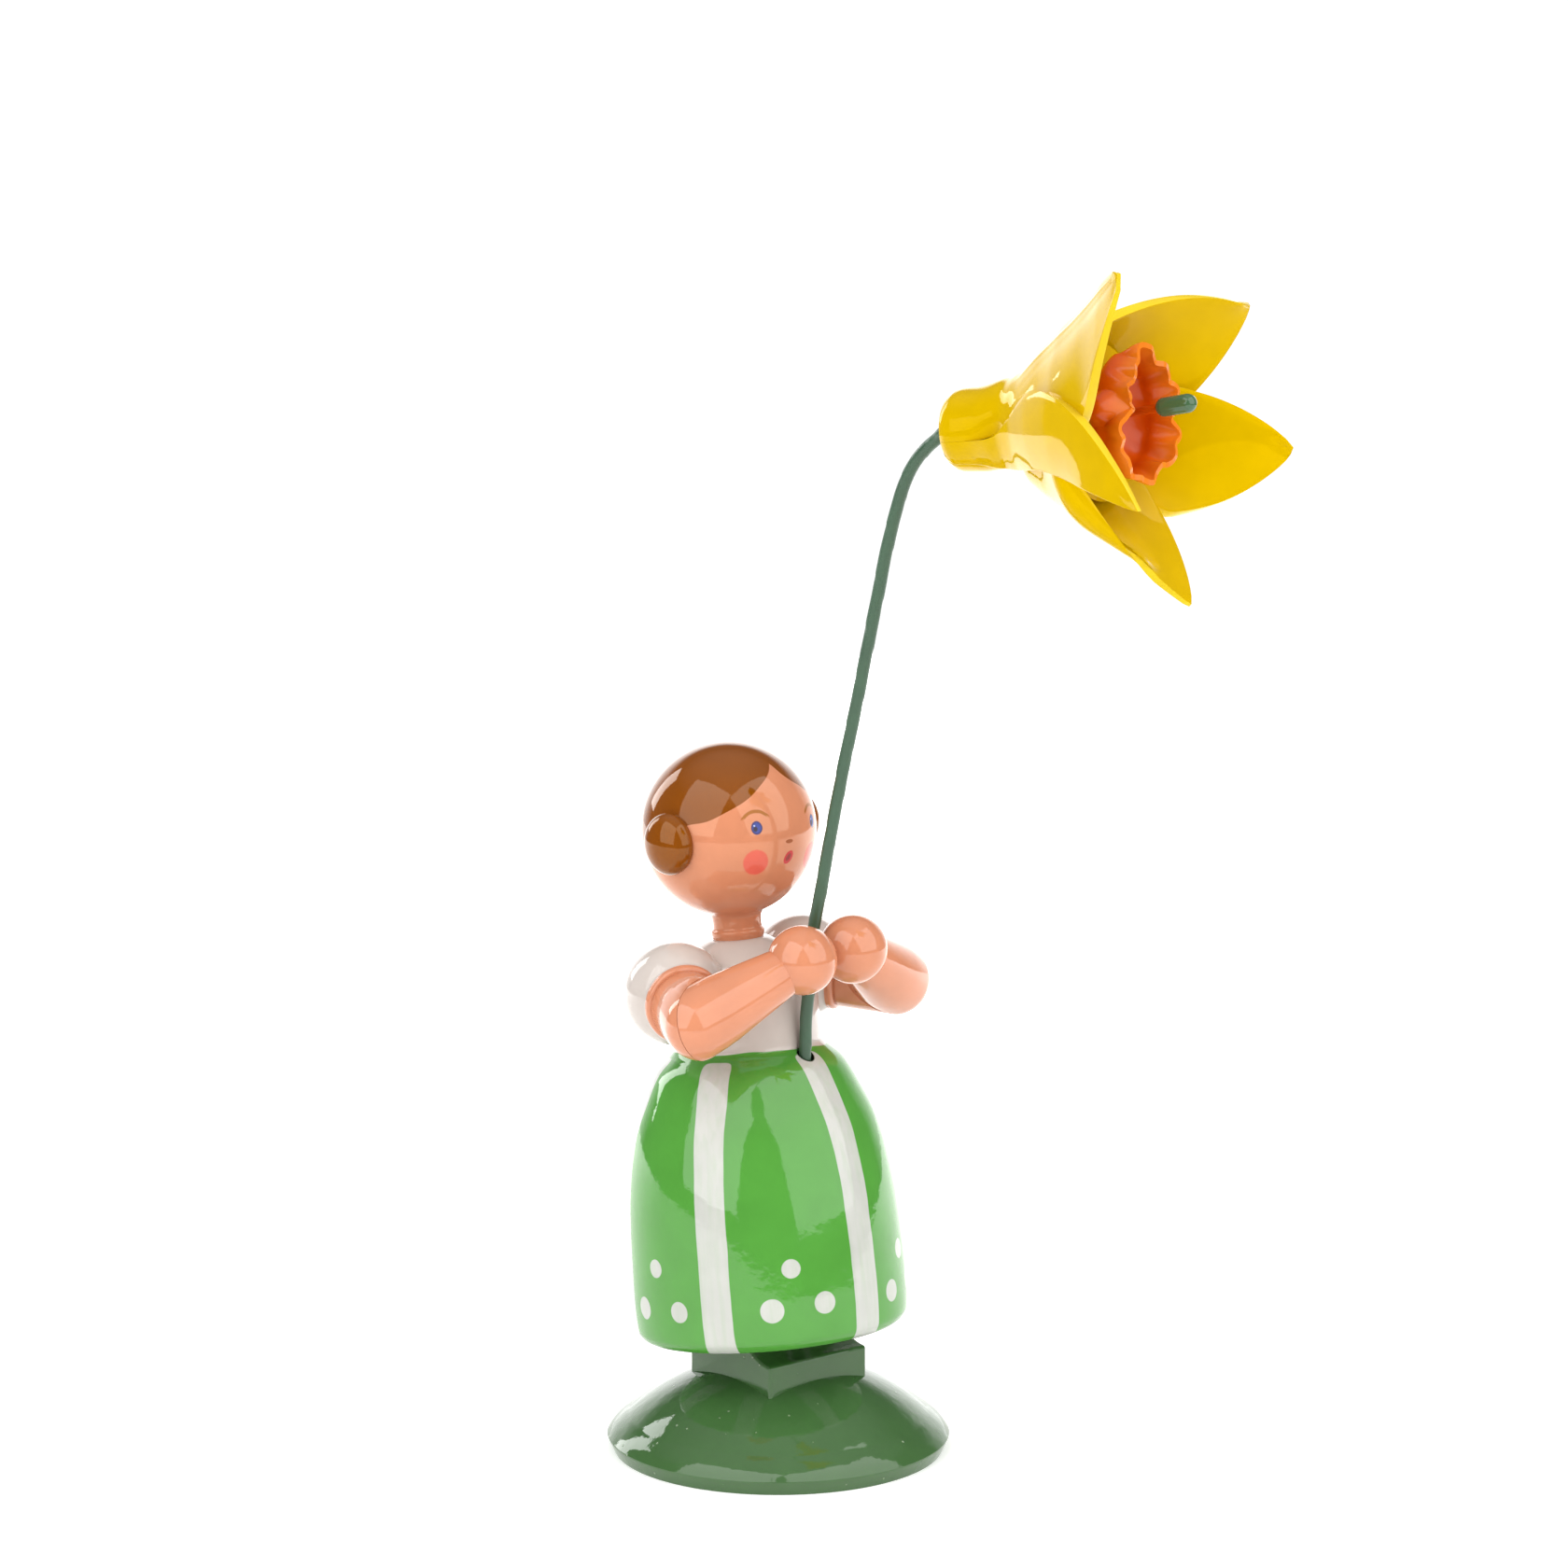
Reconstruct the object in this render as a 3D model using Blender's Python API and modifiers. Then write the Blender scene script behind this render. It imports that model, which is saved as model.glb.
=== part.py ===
"""Turned wooden figure on a round base, holding a tall yellow flower in both hands.

Metres, +Z up. The origin is the centre of the base's underside, and the figure faces -Y,
so its right hand is on the -X side. Every piece is glued, and nothing moves.
"""
import math
from collections import namedtuple

import bmesh
import bpy
from mathutils import Matrix, Vector

MM = 0.001
GAP = 0.3 * MM

# Base and shoe block
BASE_RADIUS = 17.0 * MM
BASE_UNDERCUT = 0.6 * MM
BASE_RIM_HEIGHT = 1.4 * MM
BASE_HEIGHT = 9.05 * MM
BLOCK_WIDTH = 12.4 * MM
BLOCK_TURN = math.radians(-5.2)
TOE_HEIGHT = 3.2 * MM
TOE_ROUND = 0.25 * MM
INSTEP_SLOPE = math.radians(25.0)
INSTEP_HOLLOW = 0.12

# Dowel that joins body, shoe block and base
DOWEL_RADIUS = 1.5 * MM
DOWEL_IN_BODY = 8.0 * MM
DOWEL_FLOOR = 2.4 * MM

# Turned body, measured along its own leaning axis from the underside of the skirt
LEAN = math.radians(7.0)
BODY_OFFSET = 0.8 * MM
BODY_FOOT_HEIGHT = 12.1 * MM
SKIRT_FOOT_RADIUS = 12.7 * MM
SKIRT_RADIUS = 13.7 * MM
WAIST_HEIGHT = 27.8 * MM
WAIST_RADIUS = 8.0 * MM
WAIST_STEP = 0.8 * MM
TORSO_RADIUS = 7.35 * MM
BODY_HEIGHT = 39.1 * MM
SHOULDER_DROP = 6.1 * MM
SHOULDER_ROUND = 6.6 * MM

# The skirt's bell from under the waist to the hem: shares of its widest radius and its height
SKIRT_BELL = ((0.682, 0.953), (0.777, 0.863), (0.894, 0.719), (0.971, 0.504), (1.0, 0.198),
              (0.993, 0.058), (0.967, 0.018))

# Head: a ball on a short neck with a ring at its foot, and a tenon in the body
HEAD_RADIUS = 8.64 * MM
NECK_LENGTH = 2.5 * MM
NECK_RADIUS = 2.4 * MM
NECK_RING_RADIUS = 2.6 * MM
NECK_RING_HEIGHT = 0.5 * MM
NECK_RING_ROUND = 0.35 * MM
TENON_RADIUS = 1.5 * MM
TENON_LENGTH = 4.5 * MM
HEAD_HEIGHT = BODY_HEIGHT + NECK_LENGTH + math.sqrt(HEAD_RADIUS ** 2 - NECK_RADIUS ** 2)
BUN_RADIUS = 2.85 * MM
BUN_THICKNESS = 3.9 * MM
BUN_PLACE = Vector((1.007, -0.058, -0.029)) * HEAD_RADIUS

# Arms, in the body's leaning frame: out from the torso's side, forward of its axis and down from
# its top
SLEEVE_RADIUS = 5.1 * MM
SLEEVE_OUT = 1.42 * MM
SLEEVE_FORWARD = -0.33 * MM
SLEEVE_DEPTH = 4.2 * MM
CUFF_RADIUS = 3.95 * MM
CUFF_BEAD = 0.45 * MM
GROOVE_WIDTH = 0.2 * MM
GROOVE_DEPTH = 0.15 * MM
ARM_RADIUS = 3.6 * MM
ELBOW_OUT = 5.95 * MM
ELBOW_FORWARD = 7.5 * MM
ELBOW_DEPTH = 5.9 * MM
ELBOW_ROUND = 3.7 * MM
ELBOW_SET = 0.6 * MM
FOREARM_RADIUS = 3.45 * MM
FOREARM_TAPER_START = 2.5 * MM
WRIST_RADIUS = 2.4 * MM
HAND_RADIUS = 3.4 * MM
HAND_FORWARD = 12.3 * MM
HAND_DEPTH = 1.3 * MM
SHOULDER = Vector((TORSO_RADIUS + SLEEVE_OUT, -SLEEVE_FORWARD, BODY_HEIGHT - SLEEVE_DEPTH))
ELBOW = Vector((TORSO_RADIUS + ELBOW_OUT, -ELBOW_FORWARD, BODY_HEIGHT - ELBOW_DEPTH))
HAND = Vector((HAND_RADIUS + GAP / 2, -HAND_FORWARD, BODY_HEIGHT - HAND_DEPTH))

# Flower stem: taped wire in the X = 0 plane. Its foot is set in the body's leaning frame, forward
# of the axis and up from the waist, then it passes behind the hands, and the rest is shares of the
# way forward and up from the hands to the bloom
STEM_RADIUS = 0.62 * MM
STEM_HOLE_DEPTH = 5.0 * MM
STEM_APPROACH = 0.9 * MM
STEM_FOOT = ((7.21 * MM, -5.31 * MM), (7.91 * MM, -0.46 * MM), (8.5 * MM, 3.3 * MM))
STEM_BY_HANDS = ((0.12 * MM, -2.0 * MM), (0.35 * MM, 1.5 * MM))
STEM_RISE = ((0.062, 0.092), (0.152, 0.233), (0.239, 0.361), (0.322, 0.474), (0.399, 0.584),
             (0.471, 0.687), (0.527, 0.768), (0.584, 0.832), (0.635, 0.883), (0.697, 0.923),
             (0.779, 0.957), (0.866, 0.981))

# Bloom: its axis starts at the rear of the tube, where the stem goes in
BLOOM_REAR = Vector((0.0, -23.8, 104.2)) * MM
BLOOM_TURN = math.radians(12.0)
BLOOM_LIFT = math.radians(7.5)
TUBE_LENGTH = 7.0 * MM
TUBE_RADIUS = 4.1 * MM
CLAW_GAP = 0.45 * MM
PETAL_THICKNESS = 1.0 * MM
PETAL_LAYER = 0.85 * MM
PETAL_SHOULDER = 0.45
PETAL_FULLNESS = 2.9
PETAL_POINT = 0.85
TIP_TAPER = 0.6
TAPER_START = 0.6
OVERLAP_REACH = 0.64
CORE_START = 0.2 * MM
CORE_LENGTH = 15.5 * MM
CORE_CLEARANCE = 0.8 * MM
CORE_DISH = 0.8 * MM
CORE_FACE_RADIUS = 3.2 * MM
CORONA_SEAT = 0.4 * MM
CORONA_DEPTH = 4.9 * MM
CORONA_RADIUS = 4.9 * MM
CORONA_WALL = 0.5 * MM
CORONA_TALLER = 0.17
SCALLOPS = 14
SCALLOP_DEPTH = 0.05
SCALLOP_WAVE = 0.35 * MM
PISTIL_WIRE_RADIUS = 0.4 * MM
PISTIL_WIRE_DEPTH = 4.0 * MM
PISTIL_TILT = math.radians(5.0)
PISTIL_RADIUS = 0.9 * MM
PISTIL_LENGTH = 4.2 * MM
PISTIL_REACH = 14.4 * MM
CORONA_BACK = CORE_LENGTH + CORONA_SEAT
PISTIL_WIRE_START = CORE_LENGTH - PISTIL_WIRE_DEPTH

# The bloom's outer surface: distance along its axis in tube lengths, radius in tube radii
FLARE = ((0.0, 0.86), (0.12, 0.97), (0.6, 1.0), (1.0, 1.05), (1.3, 1.32), (1.75, 1.9), (2.3, 2.55),
         (2.9, 3.18), (3.5, 3.78), (4.1, 4.3))

TURN_STEPS = 36
SMALL_STEPS = 24
BORE_STEPS = 16
PETAL_ROWS = 12
PETAL_COLUMNS = 8
CORONA_ROWS = 5

# Five petals round the tube, cut, bent and set by hand. Angles are in degrees from the top
# towards the figure's left. A petal's foot runs from its own edge angle to the next petal's.
# The sweep carries its tip sideways, flatness is 0 for a petal that follows the round flare
# and 1 for a flat one, and an edge lies over (+1) or under (-1) the next petal's.
Petal = namedtuple("Petal", ("name", "edge", "angle", "tip", "tip_radius", "sweep", "low_width",
                             "high_width", "flatness", "low_over", "high_over"))
PETALS = (
    Petal("petal_top_right", -66, -44, 28.7 * MM, 22.5 * MM, -2.0 * MM, 10.0 * MM, 3.6 * MM, -0.9, -1.4, 1),
    Petal("petal_top_left", 7, 56, 23.0 * MM, 18.8 * MM, 1.9 * MM, 8.6 * MM, 7.4 * MM, 0.3, -1, 1.2),
    Petal("petal_left", 82, 104, 25.4 * MM, 18.8 * MM, 0.4 * MM, 6.0 * MM, 8.8 * MM, 0.7, -1.35, 1.2),
    Petal("petal_bottom", 144, 176, 22.0 * MM, 17.8 * MM, -0.4 * MM, 7.4 * MM, 9.4 * MM, 0.8, -1.2, -1),
    Petal("petal_right", 222, 274, 28.7 * MM, 16.7 * MM, -7.7 * MM, 3.0 * MM, 5.2 * MM, 1.0, 1, 1.2),
)


def clear_scene():
    for obj in list(bpy.data.objects):
        bpy.data.objects.remove(obj, do_unlink=True)


def new_collection(name):
    collection = bpy.data.collections.new(name)
    bpy.context.scene.collection.children.link(collection)
    return collection


def paint(name, red, green, blue, roughness=0.25):
    material = bpy.data.materials.new(name)
    material.use_nodes = True
    shader = material.node_tree.nodes["Principled BSDF"]
    shader.inputs["Base Color"].default_value = (red, green, blue, 1.0)
    shader.inputs["Roughness"].default_value = roughness
    shader.inputs["Metallic"].default_value = 0.0
    return material


def add_object(name, mesh, material=None, parent=None):
    """A part if it has a material, otherwise a cutter."""
    obj = bpy.data.objects.new(name, mesh)
    if material is None:
        CUTTERS.objects.link(obj)
        obj.hide_render = True
        obj.display_type = 'WIRE'
    else:
        FIGURE.objects.link(obj)
        mesh.materials.append(material)
    obj.parent = parent
    return obj


def frame_empty(name, matrix):
    empty = bpy.data.objects.new(name, None)
    FIGURE.objects.link(empty)
    empty.matrix_world = matrix
    return empty


def arc(centre_r, centre_z, radius_r, radius_z, start, end, count):
    """Points of an elliptical arc in the profile plane, angles in degrees from +r."""
    points = []
    for i in range(count + 1):
        angle = math.radians(start + (end - start) * i / count)
        points.append((centre_r + radius_r * math.cos(angle), centre_z + radius_z * math.sin(angle)))
    return points


def smooth_path(points, spans):
    """A Catmull-Rom curve through the points, with the given number of pieces between two."""
    padded = [points[0]] + list(points) + [points[-1]]
    path = []
    for i in range(1, len(padded) - 2):
        for step in range(spans):
            t = step / spans
            path.append(tuple(
                0.5 * (2 * b + (c - a) * t + (2 * a - 5 * b + 4 * c - d) * t * t
                       + (3 * b - a - 3 * c + d) * t ** 3)
                for a, b, c, d in zip(*padded[i - 1:i + 3])))
    path.append(tuple(points[-1]))
    return path


def turned(name, profile, material=None, parent=None, steps=TURN_STEPS):
    """A lathe-turned piece: the profile (r, z) runs from the top of the axis to its bottom."""
    mesh = bpy.data.meshes.new(name)
    edges = [(i, i + 1) for i in range(len(profile) - 1)]
    mesh.from_pydata([(r, 0.0, z) for r, z in profile], edges, [])
    obj = add_object(name, mesh, material, parent)
    screw = obj.modifiers.new("turning", 'SCREW')
    screw.steps = steps
    screw.render_steps = steps
    screw.use_merge_vertices = True
    screw.merge_threshold = 0.00001
    screw.use_smooth_shade = True
    return obj


def rod(name, radius, low, high, material=None, parent=None, steps=SMALL_STEPS):
    profile = [(0.0, high), (radius, high), (radius, low), (0.0, low)]
    return turned(name, profile, material, parent, steps)


def cut(target, cutter, operation='DIFFERENCE'):
    boolean = target.modifiers.new("cut by " + cutter.name, 'BOOLEAN')
    boolean.operation = operation
    boolean.solver = 'EXACT'
    boolean.object = cutter


def aim(obj, start, direction):
    """Put an object's origin at start and point its +Z along direction."""
    obj.location = start
    obj.rotation_mode = 'QUATERNION'
    obj.rotation_quaternion = direction.to_track_quat('Z', 'Y')


def dome_radius(height, radius):
    """Radius of the sphere whose cap has this height over a circle of this radius."""
    return (radius ** 2 + height ** 2) / (2 * height)


DOME_RISE = BASE_HEIGHT - BASE_RIM_HEIGHT
DOME_SPHERE = dome_radius(DOME_RISE, BASE_RADIUS)
DOME_CENTRE = BASE_HEIGHT - DOME_SPHERE


def dome_height(distance):
    """Height of the base's top at this distance from its axis."""
    return DOME_CENTRE + math.sqrt(DOME_SPHERE ** 2 - distance ** 2)


def base_profile():
    edge = math.degrees(math.asin((BASE_RIM_HEIGHT - DOME_CENTRE) / DOME_SPHERE))
    dome = arc(0.0, DOME_CENTRE, DOME_SPHERE, DOME_SPHERE, 90.0, edge, 12)
    foot = BASE_RADIUS - BASE_UNDERCUT
    dome[0] = (0.0, BASE_HEIGHT)
    return dome + [(foot, 0.0), (0.0, 0.0)]


def dowel_depth():
    """How far the dowel goes down from the skirt's underside, through the block into the base."""
    return (BODY_FOOT_HEIGHT - DOWEL_FLOOR) / math.cos(LEAN)


def make_base(material):
    base = turned("base_disc", base_profile(), material)
    cut(base, rod("base_bore", DOWEL_RADIUS + GAP, -dowel_depth() - GAP, GAP, parent=BODY_FRAME))
    return base


def shoe_outline():
    """Side view of the block, as (forward, height): toe, sloped instep and tilted top."""
    half = BLOCK_WIDTH / 2
    corner = math.hypot(half, half)
    toe_top = dome_height(corner) + TOE_HEIGHT
    top_at_middle = BODY_FOOT_HEIGHT - GAP / math.cos(LEAN) + BODY_OFFSET * math.tan(LEAN)
    rise = math.tan(LEAN)
    run = (top_at_middle + rise * half - toe_top) / (math.tan(INSTEP_SLOPE) + rise)
    hollow = INSTEP_HOLLOW * run
    ramp = [(half - run * k, toe_top + run * k * math.tan(INSTEP_SLOPE) - hollow * math.sin(math.pi * k))
            for k in (0.25, 0.5, 0.75, 1.0)]
    low = DOME_CENTRE + DOME_SPHERE * 0.5
    return ([(half, low), (half, toe_top - TOE_ROUND), (half - TOE_ROUND, toe_top)] + ramp
            + [(-half, top_at_middle - rise * half), (-half, low)])


def make_shoe_block(material):
    outline = shoe_outline()
    mesh = bpy.data.meshes.new("shoe_block")
    shape = bmesh.new()
    half = BLOCK_WIDTH / 2
    side = [shape.verts.new((-half, -forward, height)) for forward, height in outline]
    face = shape.faces.new(side)
    moved = bmesh.ops.extrude_face_region(shape, geom=[face])["geom"]
    corners = [item for item in moved if isinstance(item, bmesh.types.BMVert)]
    bmesh.ops.translate(shape, verts=corners, vec=(BLOCK_WIDTH, 0.0, 0.0))
    bmesh.ops.recalc_face_normals(shape, faces=shape.faces[:])
    shape.to_mesh(mesh)
    shape.free()
    block = add_object("shoe_block", mesh, material)
    block.rotation_euler = (0.0, 0.0, BLOCK_TURN)
    dome = turned("dome_seat", arc(0.0, DOME_CENTRE, DOME_SPHERE + GAP, DOME_SPHERE + GAP, 90.0, -90.0, 40))
    cut(block, dome)
    cut(block, rod("block_bore", DOWEL_RADIUS + GAP, -dowel_depth(), DOWEL_IN_BODY, parent=BODY_FRAME))
    return block


def body_profile():
    top = math.degrees(math.asin(SHOULDER_DROP / SHOULDER_ROUND))
    shoulders = arc(0.0, BODY_HEIGHT - SHOULDER_DROP, TORSO_RADIUS, SHOULDER_ROUND, top, 0.0, 6)
    bell = [(SKIRT_RADIUS * out, WAIST_HEIGHT * up) for out, up in SKIRT_BELL]
    skirt = smooth_path([(WAIST_RADIUS, WAIST_HEIGHT)] + bell + [(SKIRT_FOOT_RADIUS, 0.0)], 2)
    return ([(0.0, BODY_HEIGHT)] + shoulders + [(TORSO_RADIUS, WAIST_HEIGHT + WAIST_STEP)]
            + skirt + [(0.0, 0.0)])


def grown(profile, amount):
    """The same profile, larger by the amount, for a cutter that leaves a gap."""
    result = []
    for i, (r, z) in enumerate(profile):
        before = profile[max(i - 1, 0)]
        after = profile[min(i + 1, len(profile) - 1)]
        along = Vector((after[0] - before[0], after[1] - before[1])).normalized()
        out = Vector((-along.y, along.x)) * amount
        result.append((max(0.0, r + out.x) if r > 0 else 0.0, z + out.y))
    return result


def make_body(material):
    body = turned("turned_body", body_profile(), material, BODY_FRAME)
    cut(body, rod("body_bore", DOWEL_RADIUS + GAP, -GAP, DOWEL_IN_BODY + GAP, parent=BODY_FRAME))
    neck_floor = BODY_HEIGHT - TENON_LENGTH - GAP
    cut(body, rod("neck_bore", TENON_RADIUS + GAP, neck_floor, BODY_HEIGHT + GAP, parent=BODY_FRAME))
    foot, at_waist, above = STEM_ROUTE[:3]
    bore = rod("stem_bore", STEM_RADIUS + GAP, -GAP, (above - foot).length, steps=BORE_STEPS)
    aim(bore, foot, at_waist - foot)
    cut(body, bore)
    return body


def make_dowel(material):
    return rod("leg_dowel", DOWEL_RADIUS, -dowel_depth(), DOWEL_IN_BODY, material, BODY_FRAME)


def make_head(material):
    seat = BODY_HEIGHT + GAP
    join = math.degrees(math.asin(-math.sqrt(HEAD_RADIUS ** 2 - NECK_RADIUS ** 2) / HEAD_RADIUS))
    ball = arc(0.0, HEAD_HEIGHT, HEAD_RADIUS, HEAD_RADIUS, 90.0, join, 22)
    ball[0] = (0.0, HEAD_HEIGHT + HEAD_RADIUS)
    ring_top = seat + NECK_RING_HEIGHT
    neck = [(NECK_RADIUS, ring_top + NECK_RING_ROUND), (NECK_RING_RADIUS, ring_top),
            (NECK_RING_RADIUS, seat), (TENON_RADIUS, seat),
            (TENON_RADIUS, BODY_HEIGHT - TENON_LENGTH), (0.0, BODY_HEIGHT - TENON_LENGTH)]
    return turned("head", ball + neck, material, BODY_FRAME)


def make_bun(side_name, side, material):
    mesh = bpy.data.meshes.new("hair_bun_" + side_name)
    shape = bmesh.new()
    bmesh.ops.create_uvsphere(shape, u_segments=20, v_segments=12, radius=1.0)
    flatten = Matrix.Diagonal((BUN_THICKNESS / 2, BUN_RADIUS, BUN_RADIUS, 1.0))
    bmesh.ops.transform(shape, matrix=flatten, verts=shape.verts[:])
    for face in shape.faces:
        face.smooth = True
    shape.to_mesh(mesh)
    shape.free()
    bun = add_object("hair_bun_" + side_name, mesh, material, BODY_FRAME)
    bun.location = mirrored(BUN_PLACE, side) + Vector((0.0, 0.0, HEAD_HEIGHT))
    seat = turned("bun_seat_" + side_name, arc(0.0, 0.0, HEAD_RADIUS + GAP, HEAD_RADIUS + GAP, 90, -90, 24),
                  parent=BODY_FRAME)
    seat.location = (0.0, 0.0, HEAD_HEIGHT)
    cut(bun, seat)
    return bun


def mirrored(point, side):
    return Vector((side * point.x, point.y, point.z))


def mitre_box(name, elbow, direction):
    """A block whose near face lies half a gap beyond the mitre plane."""
    size = 4 * ARM_RADIUS
    mesh = bpy.data.meshes.new(name)
    shape = bmesh.new()
    bmesh.ops.create_cube(shape, size=size)
    bmesh.ops.translate(shape, verts=shape.verts[:], vec=(0.0, 0.0, size / 2 - GAP / 2))
    shape.to_mesh(mesh)
    shape.free()
    box = add_object(name, mesh, parent=BODY_FRAME)
    aim(box, elbow, direction)
    return box


def elbow_end():
    """The rounded end of an arm's cylinder, past the elbow point at z = 0."""
    return arc(0.0, -ELBOW_SET, ARM_RADIUS, ELBOW_ROUND, 0.0, -90.0, 6)


def forearm_profile(length):
    wrist = math.degrees(math.acos(WRIST_RADIUS / HAND_RADIUS))
    hand = arc(0.0, length, HAND_RADIUS, HAND_RADIUS, 90.0, -wrist, 12)
    hand[0] = (0.0, length + HAND_RADIUS)
    end = elbow_end()
    end[-1] = (0.0, end[-1][1])
    return hand + [(FOREARM_RADIUS, FOREARM_TAPER_START)] + end


def sleeve_profile(length):
    """From the elbow end, past the groove and the cuff bead, round the sleeve ball."""
    end = elbow_end()
    reach = [(r, length - z) for r, z in reversed(end)]
    reach[0] = (0.0, reach[0][1])
    mouth = math.sqrt(SLEEVE_RADIUS ** 2 - CUFF_RADIUS ** 2)
    groove_floor = mouth + 2 * CUFF_BEAD
    groove = [(ARM_RADIUS, groove_floor + GROOVE_WIDTH), (ARM_RADIUS - GROOVE_DEPTH, groove_floor)]
    cuff = arc(CUFF_RADIUS - CUFF_BEAD, mouth + CUFF_BEAD, CUFF_BEAD, CUFF_BEAD, 70.0, 0.0, 3)
    start = math.degrees(math.asin(mouth / SLEEVE_RADIUS))
    ball = arc(0.0, 0.0, SLEEVE_RADIUS, SLEEVE_RADIUS, start, -90.0, 12)
    ball[-1] = (0.0, -SLEEVE_RADIUS)
    return reach + groove + cuff + ball


def make_arm(side_name, side, sleeve_material, skin_material):
    shoulder = mirrored(SHOULDER, side)
    elbow = mirrored(ELBOW, side)
    hand = mirrored(HAND, side)
    upper = (elbow - shoulder).normalized()
    lower = (hand - elbow).normalized()
    across = (upper + lower).normalized()
    sleeve = turned("upper_arm_" + side_name, sleeve_profile((elbow - shoulder).length),
                    sleeve_material, BODY_FRAME, SMALL_STEPS)
    aim(sleeve, shoulder, upper)
    cut(sleeve, mitre_box("sleeve_mitre_" + side_name, elbow, across))
    cut(sleeve, TORSO_CUTTER)
    forearm = turned("forearm_" + side_name, forearm_profile((hand - elbow).length),
                     skin_material, BODY_FRAME, SMALL_STEPS)
    aim(forearm, elbow, lower)
    cut(forearm, mitre_box("forearm_mitre_" + side_name, elbow, -across))
    return sleeve, forearm


def stem_route():
    """The stem's own points: from the bore in the skirt, behind the hands, up to the bloom."""
    clear = HAND_RADIUS + STEM_RADIUS + GAP
    behind = math.sqrt(clear ** 2 - HAND.x ** 2)
    hands = BODY_MATRIX @ HAND + Vector((-HAND.x, behind, 0.0))
    way = BLOOM_REAR - hands
    foot = [BODY_MATRIX @ Vector((0.0, -forward, WAIST_HEIGHT + up)) for forward, up in STEM_FOOT]
    grip = [hands + Vector((0.0, -forward, up)) for forward, up in STEM_BY_HANDS]
    rise = [hands + Vector((0.0, way.y * forward, way.z * up)) for forward, up in STEM_RISE]
    axis = (BLOOM_MATRIX.to_3x3() @ Vector((0.0, 0.0, 1.0))).normalized()
    end = [BLOOM_REAR - axis * STEM_APPROACH, BLOOM_REAR + axis * STEM_HOLE_DEPTH]
    return foot + grip + rise + end


def make_stem(material):
    path = smooth_path([tuple(point) for point in STEM_ROUTE], 3)
    curve = bpy.data.curves.new("stem_wire", 'CURVE')
    curve.dimensions = '3D'
    curve.bevel_depth = STEM_RADIUS
    curve.bevel_resolution = 2
    curve.use_fill_caps = True
    spline = curve.splines.new('POLY')
    spline.points.add(len(path) - 1)
    for point, place in zip(spline.points, path):
        point.co = (*place, 1.0)
    stem = bpy.data.objects.new("stem_wire", curve)
    FIGURE.objects.link(stem)
    curve.materials.append(material)
    return stem


def blend(low, high, value):
    """0 below low, 1 above high and a smooth rise between them."""
    t = min(1.0, max(0.0, (value - low) / (high - low)))
    return t * t * (3 - 2 * t)


def flare_radius(distance):
    """Radius of the bloom's outer surface, at a distance along its axis."""
    place = distance / TUBE_LENGTH
    for (low, low_r), (high, high_r) in zip(FLARE, FLARE[1:]):
        if place <= high:
            return TUBE_RADIUS * (low_r + (high_r - low_r) * (place - low) / (high - low))
    return TUBE_RADIUS * FLARE[-1][1]


def foot_angles(index):
    """Angles of a petal's two edges on the tube, measured from the petal's own middle."""
    petal = PETALS[index]
    following = PETALS[(index + 1) % len(PETALS)].edge + (360 if index + 1 == len(PETALS) else 0)
    half_gap = 0.5 * CLAW_GAP / TUBE_RADIUS
    return math.radians(petal.edge - petal.angle) + half_gap, math.radians(following - petal.angle) - half_gap


def petal_half_width(place, foot_width, widest):
    """Half width along the petal, from the tube (0) to the tip (1)."""
    rise = 1.0 - (1.0 - min(place / PETAL_SHOULDER, 1.0)) ** 2
    return (foot_width + (widest - foot_width) * rise) * (1.0 - place ** PETAL_FULLNESS) ** PETAL_POINT


def petal_radius(distance, tip, tip_radius):
    """The flare, bent in its outer part so that the tip lies at its own radius."""
    bend_start = 0.8 * CORE_LENGTH
    bend = max(0.0, (distance - bend_start) / (tip - bend_start))
    return flare_radius(distance) + (tip_radius - flare_radius(tip)) * bend ** 2


def petal_point(petal, foot, distance, side):
    """A point of a petal's outer face, at a distance along the bloom's axis and a side from -1 to 1."""
    layer = PETAL_LAYER * blend(0.4 * TUBE_LENGTH, 0.95 * TUBE_LENGTH, distance)
    middle = 0.5 * (petal.low_over + petal.high_over)
    radius = petal_radius(distance, petal.tip, petal.tip_radius - middle * layer)
    place = max(0.0, (distance - TUBE_LENGTH) / (petal.tip - TUBE_LENGTH))
    edge, widest = (foot[0], petal.low_width) if side < 0 else (foot[1], petal.high_width)
    reach = math.sin(abs(edge))
    half = abs(edge)
    if place > 0:
        width = petal_half_width(place, reach * flare_radius(TUBE_LENGTH), widest)
        half = math.asin(min(width / radius, max(reach, OVERLAP_REACH)))
    sine = math.sin(side * half) + petal.sweep * place ** 2 / radius
    cosine = math.sqrt(1.0 - sine ** 2)
    flatness = petal.flatness * blend(CORE_LENGTH, 1.45 * CORE_LENGTH, distance)
    out = radius + layer * (petal.low_over + (petal.high_over - petal.low_over) * blend(-1.0, 1.0, side))
    point = Vector((out * sine, out * (cosine + (1.0 - cosine) * flatness), distance))
    return Matrix.Rotation(-math.radians(petal.angle), 3, 'Z') @ point


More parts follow.
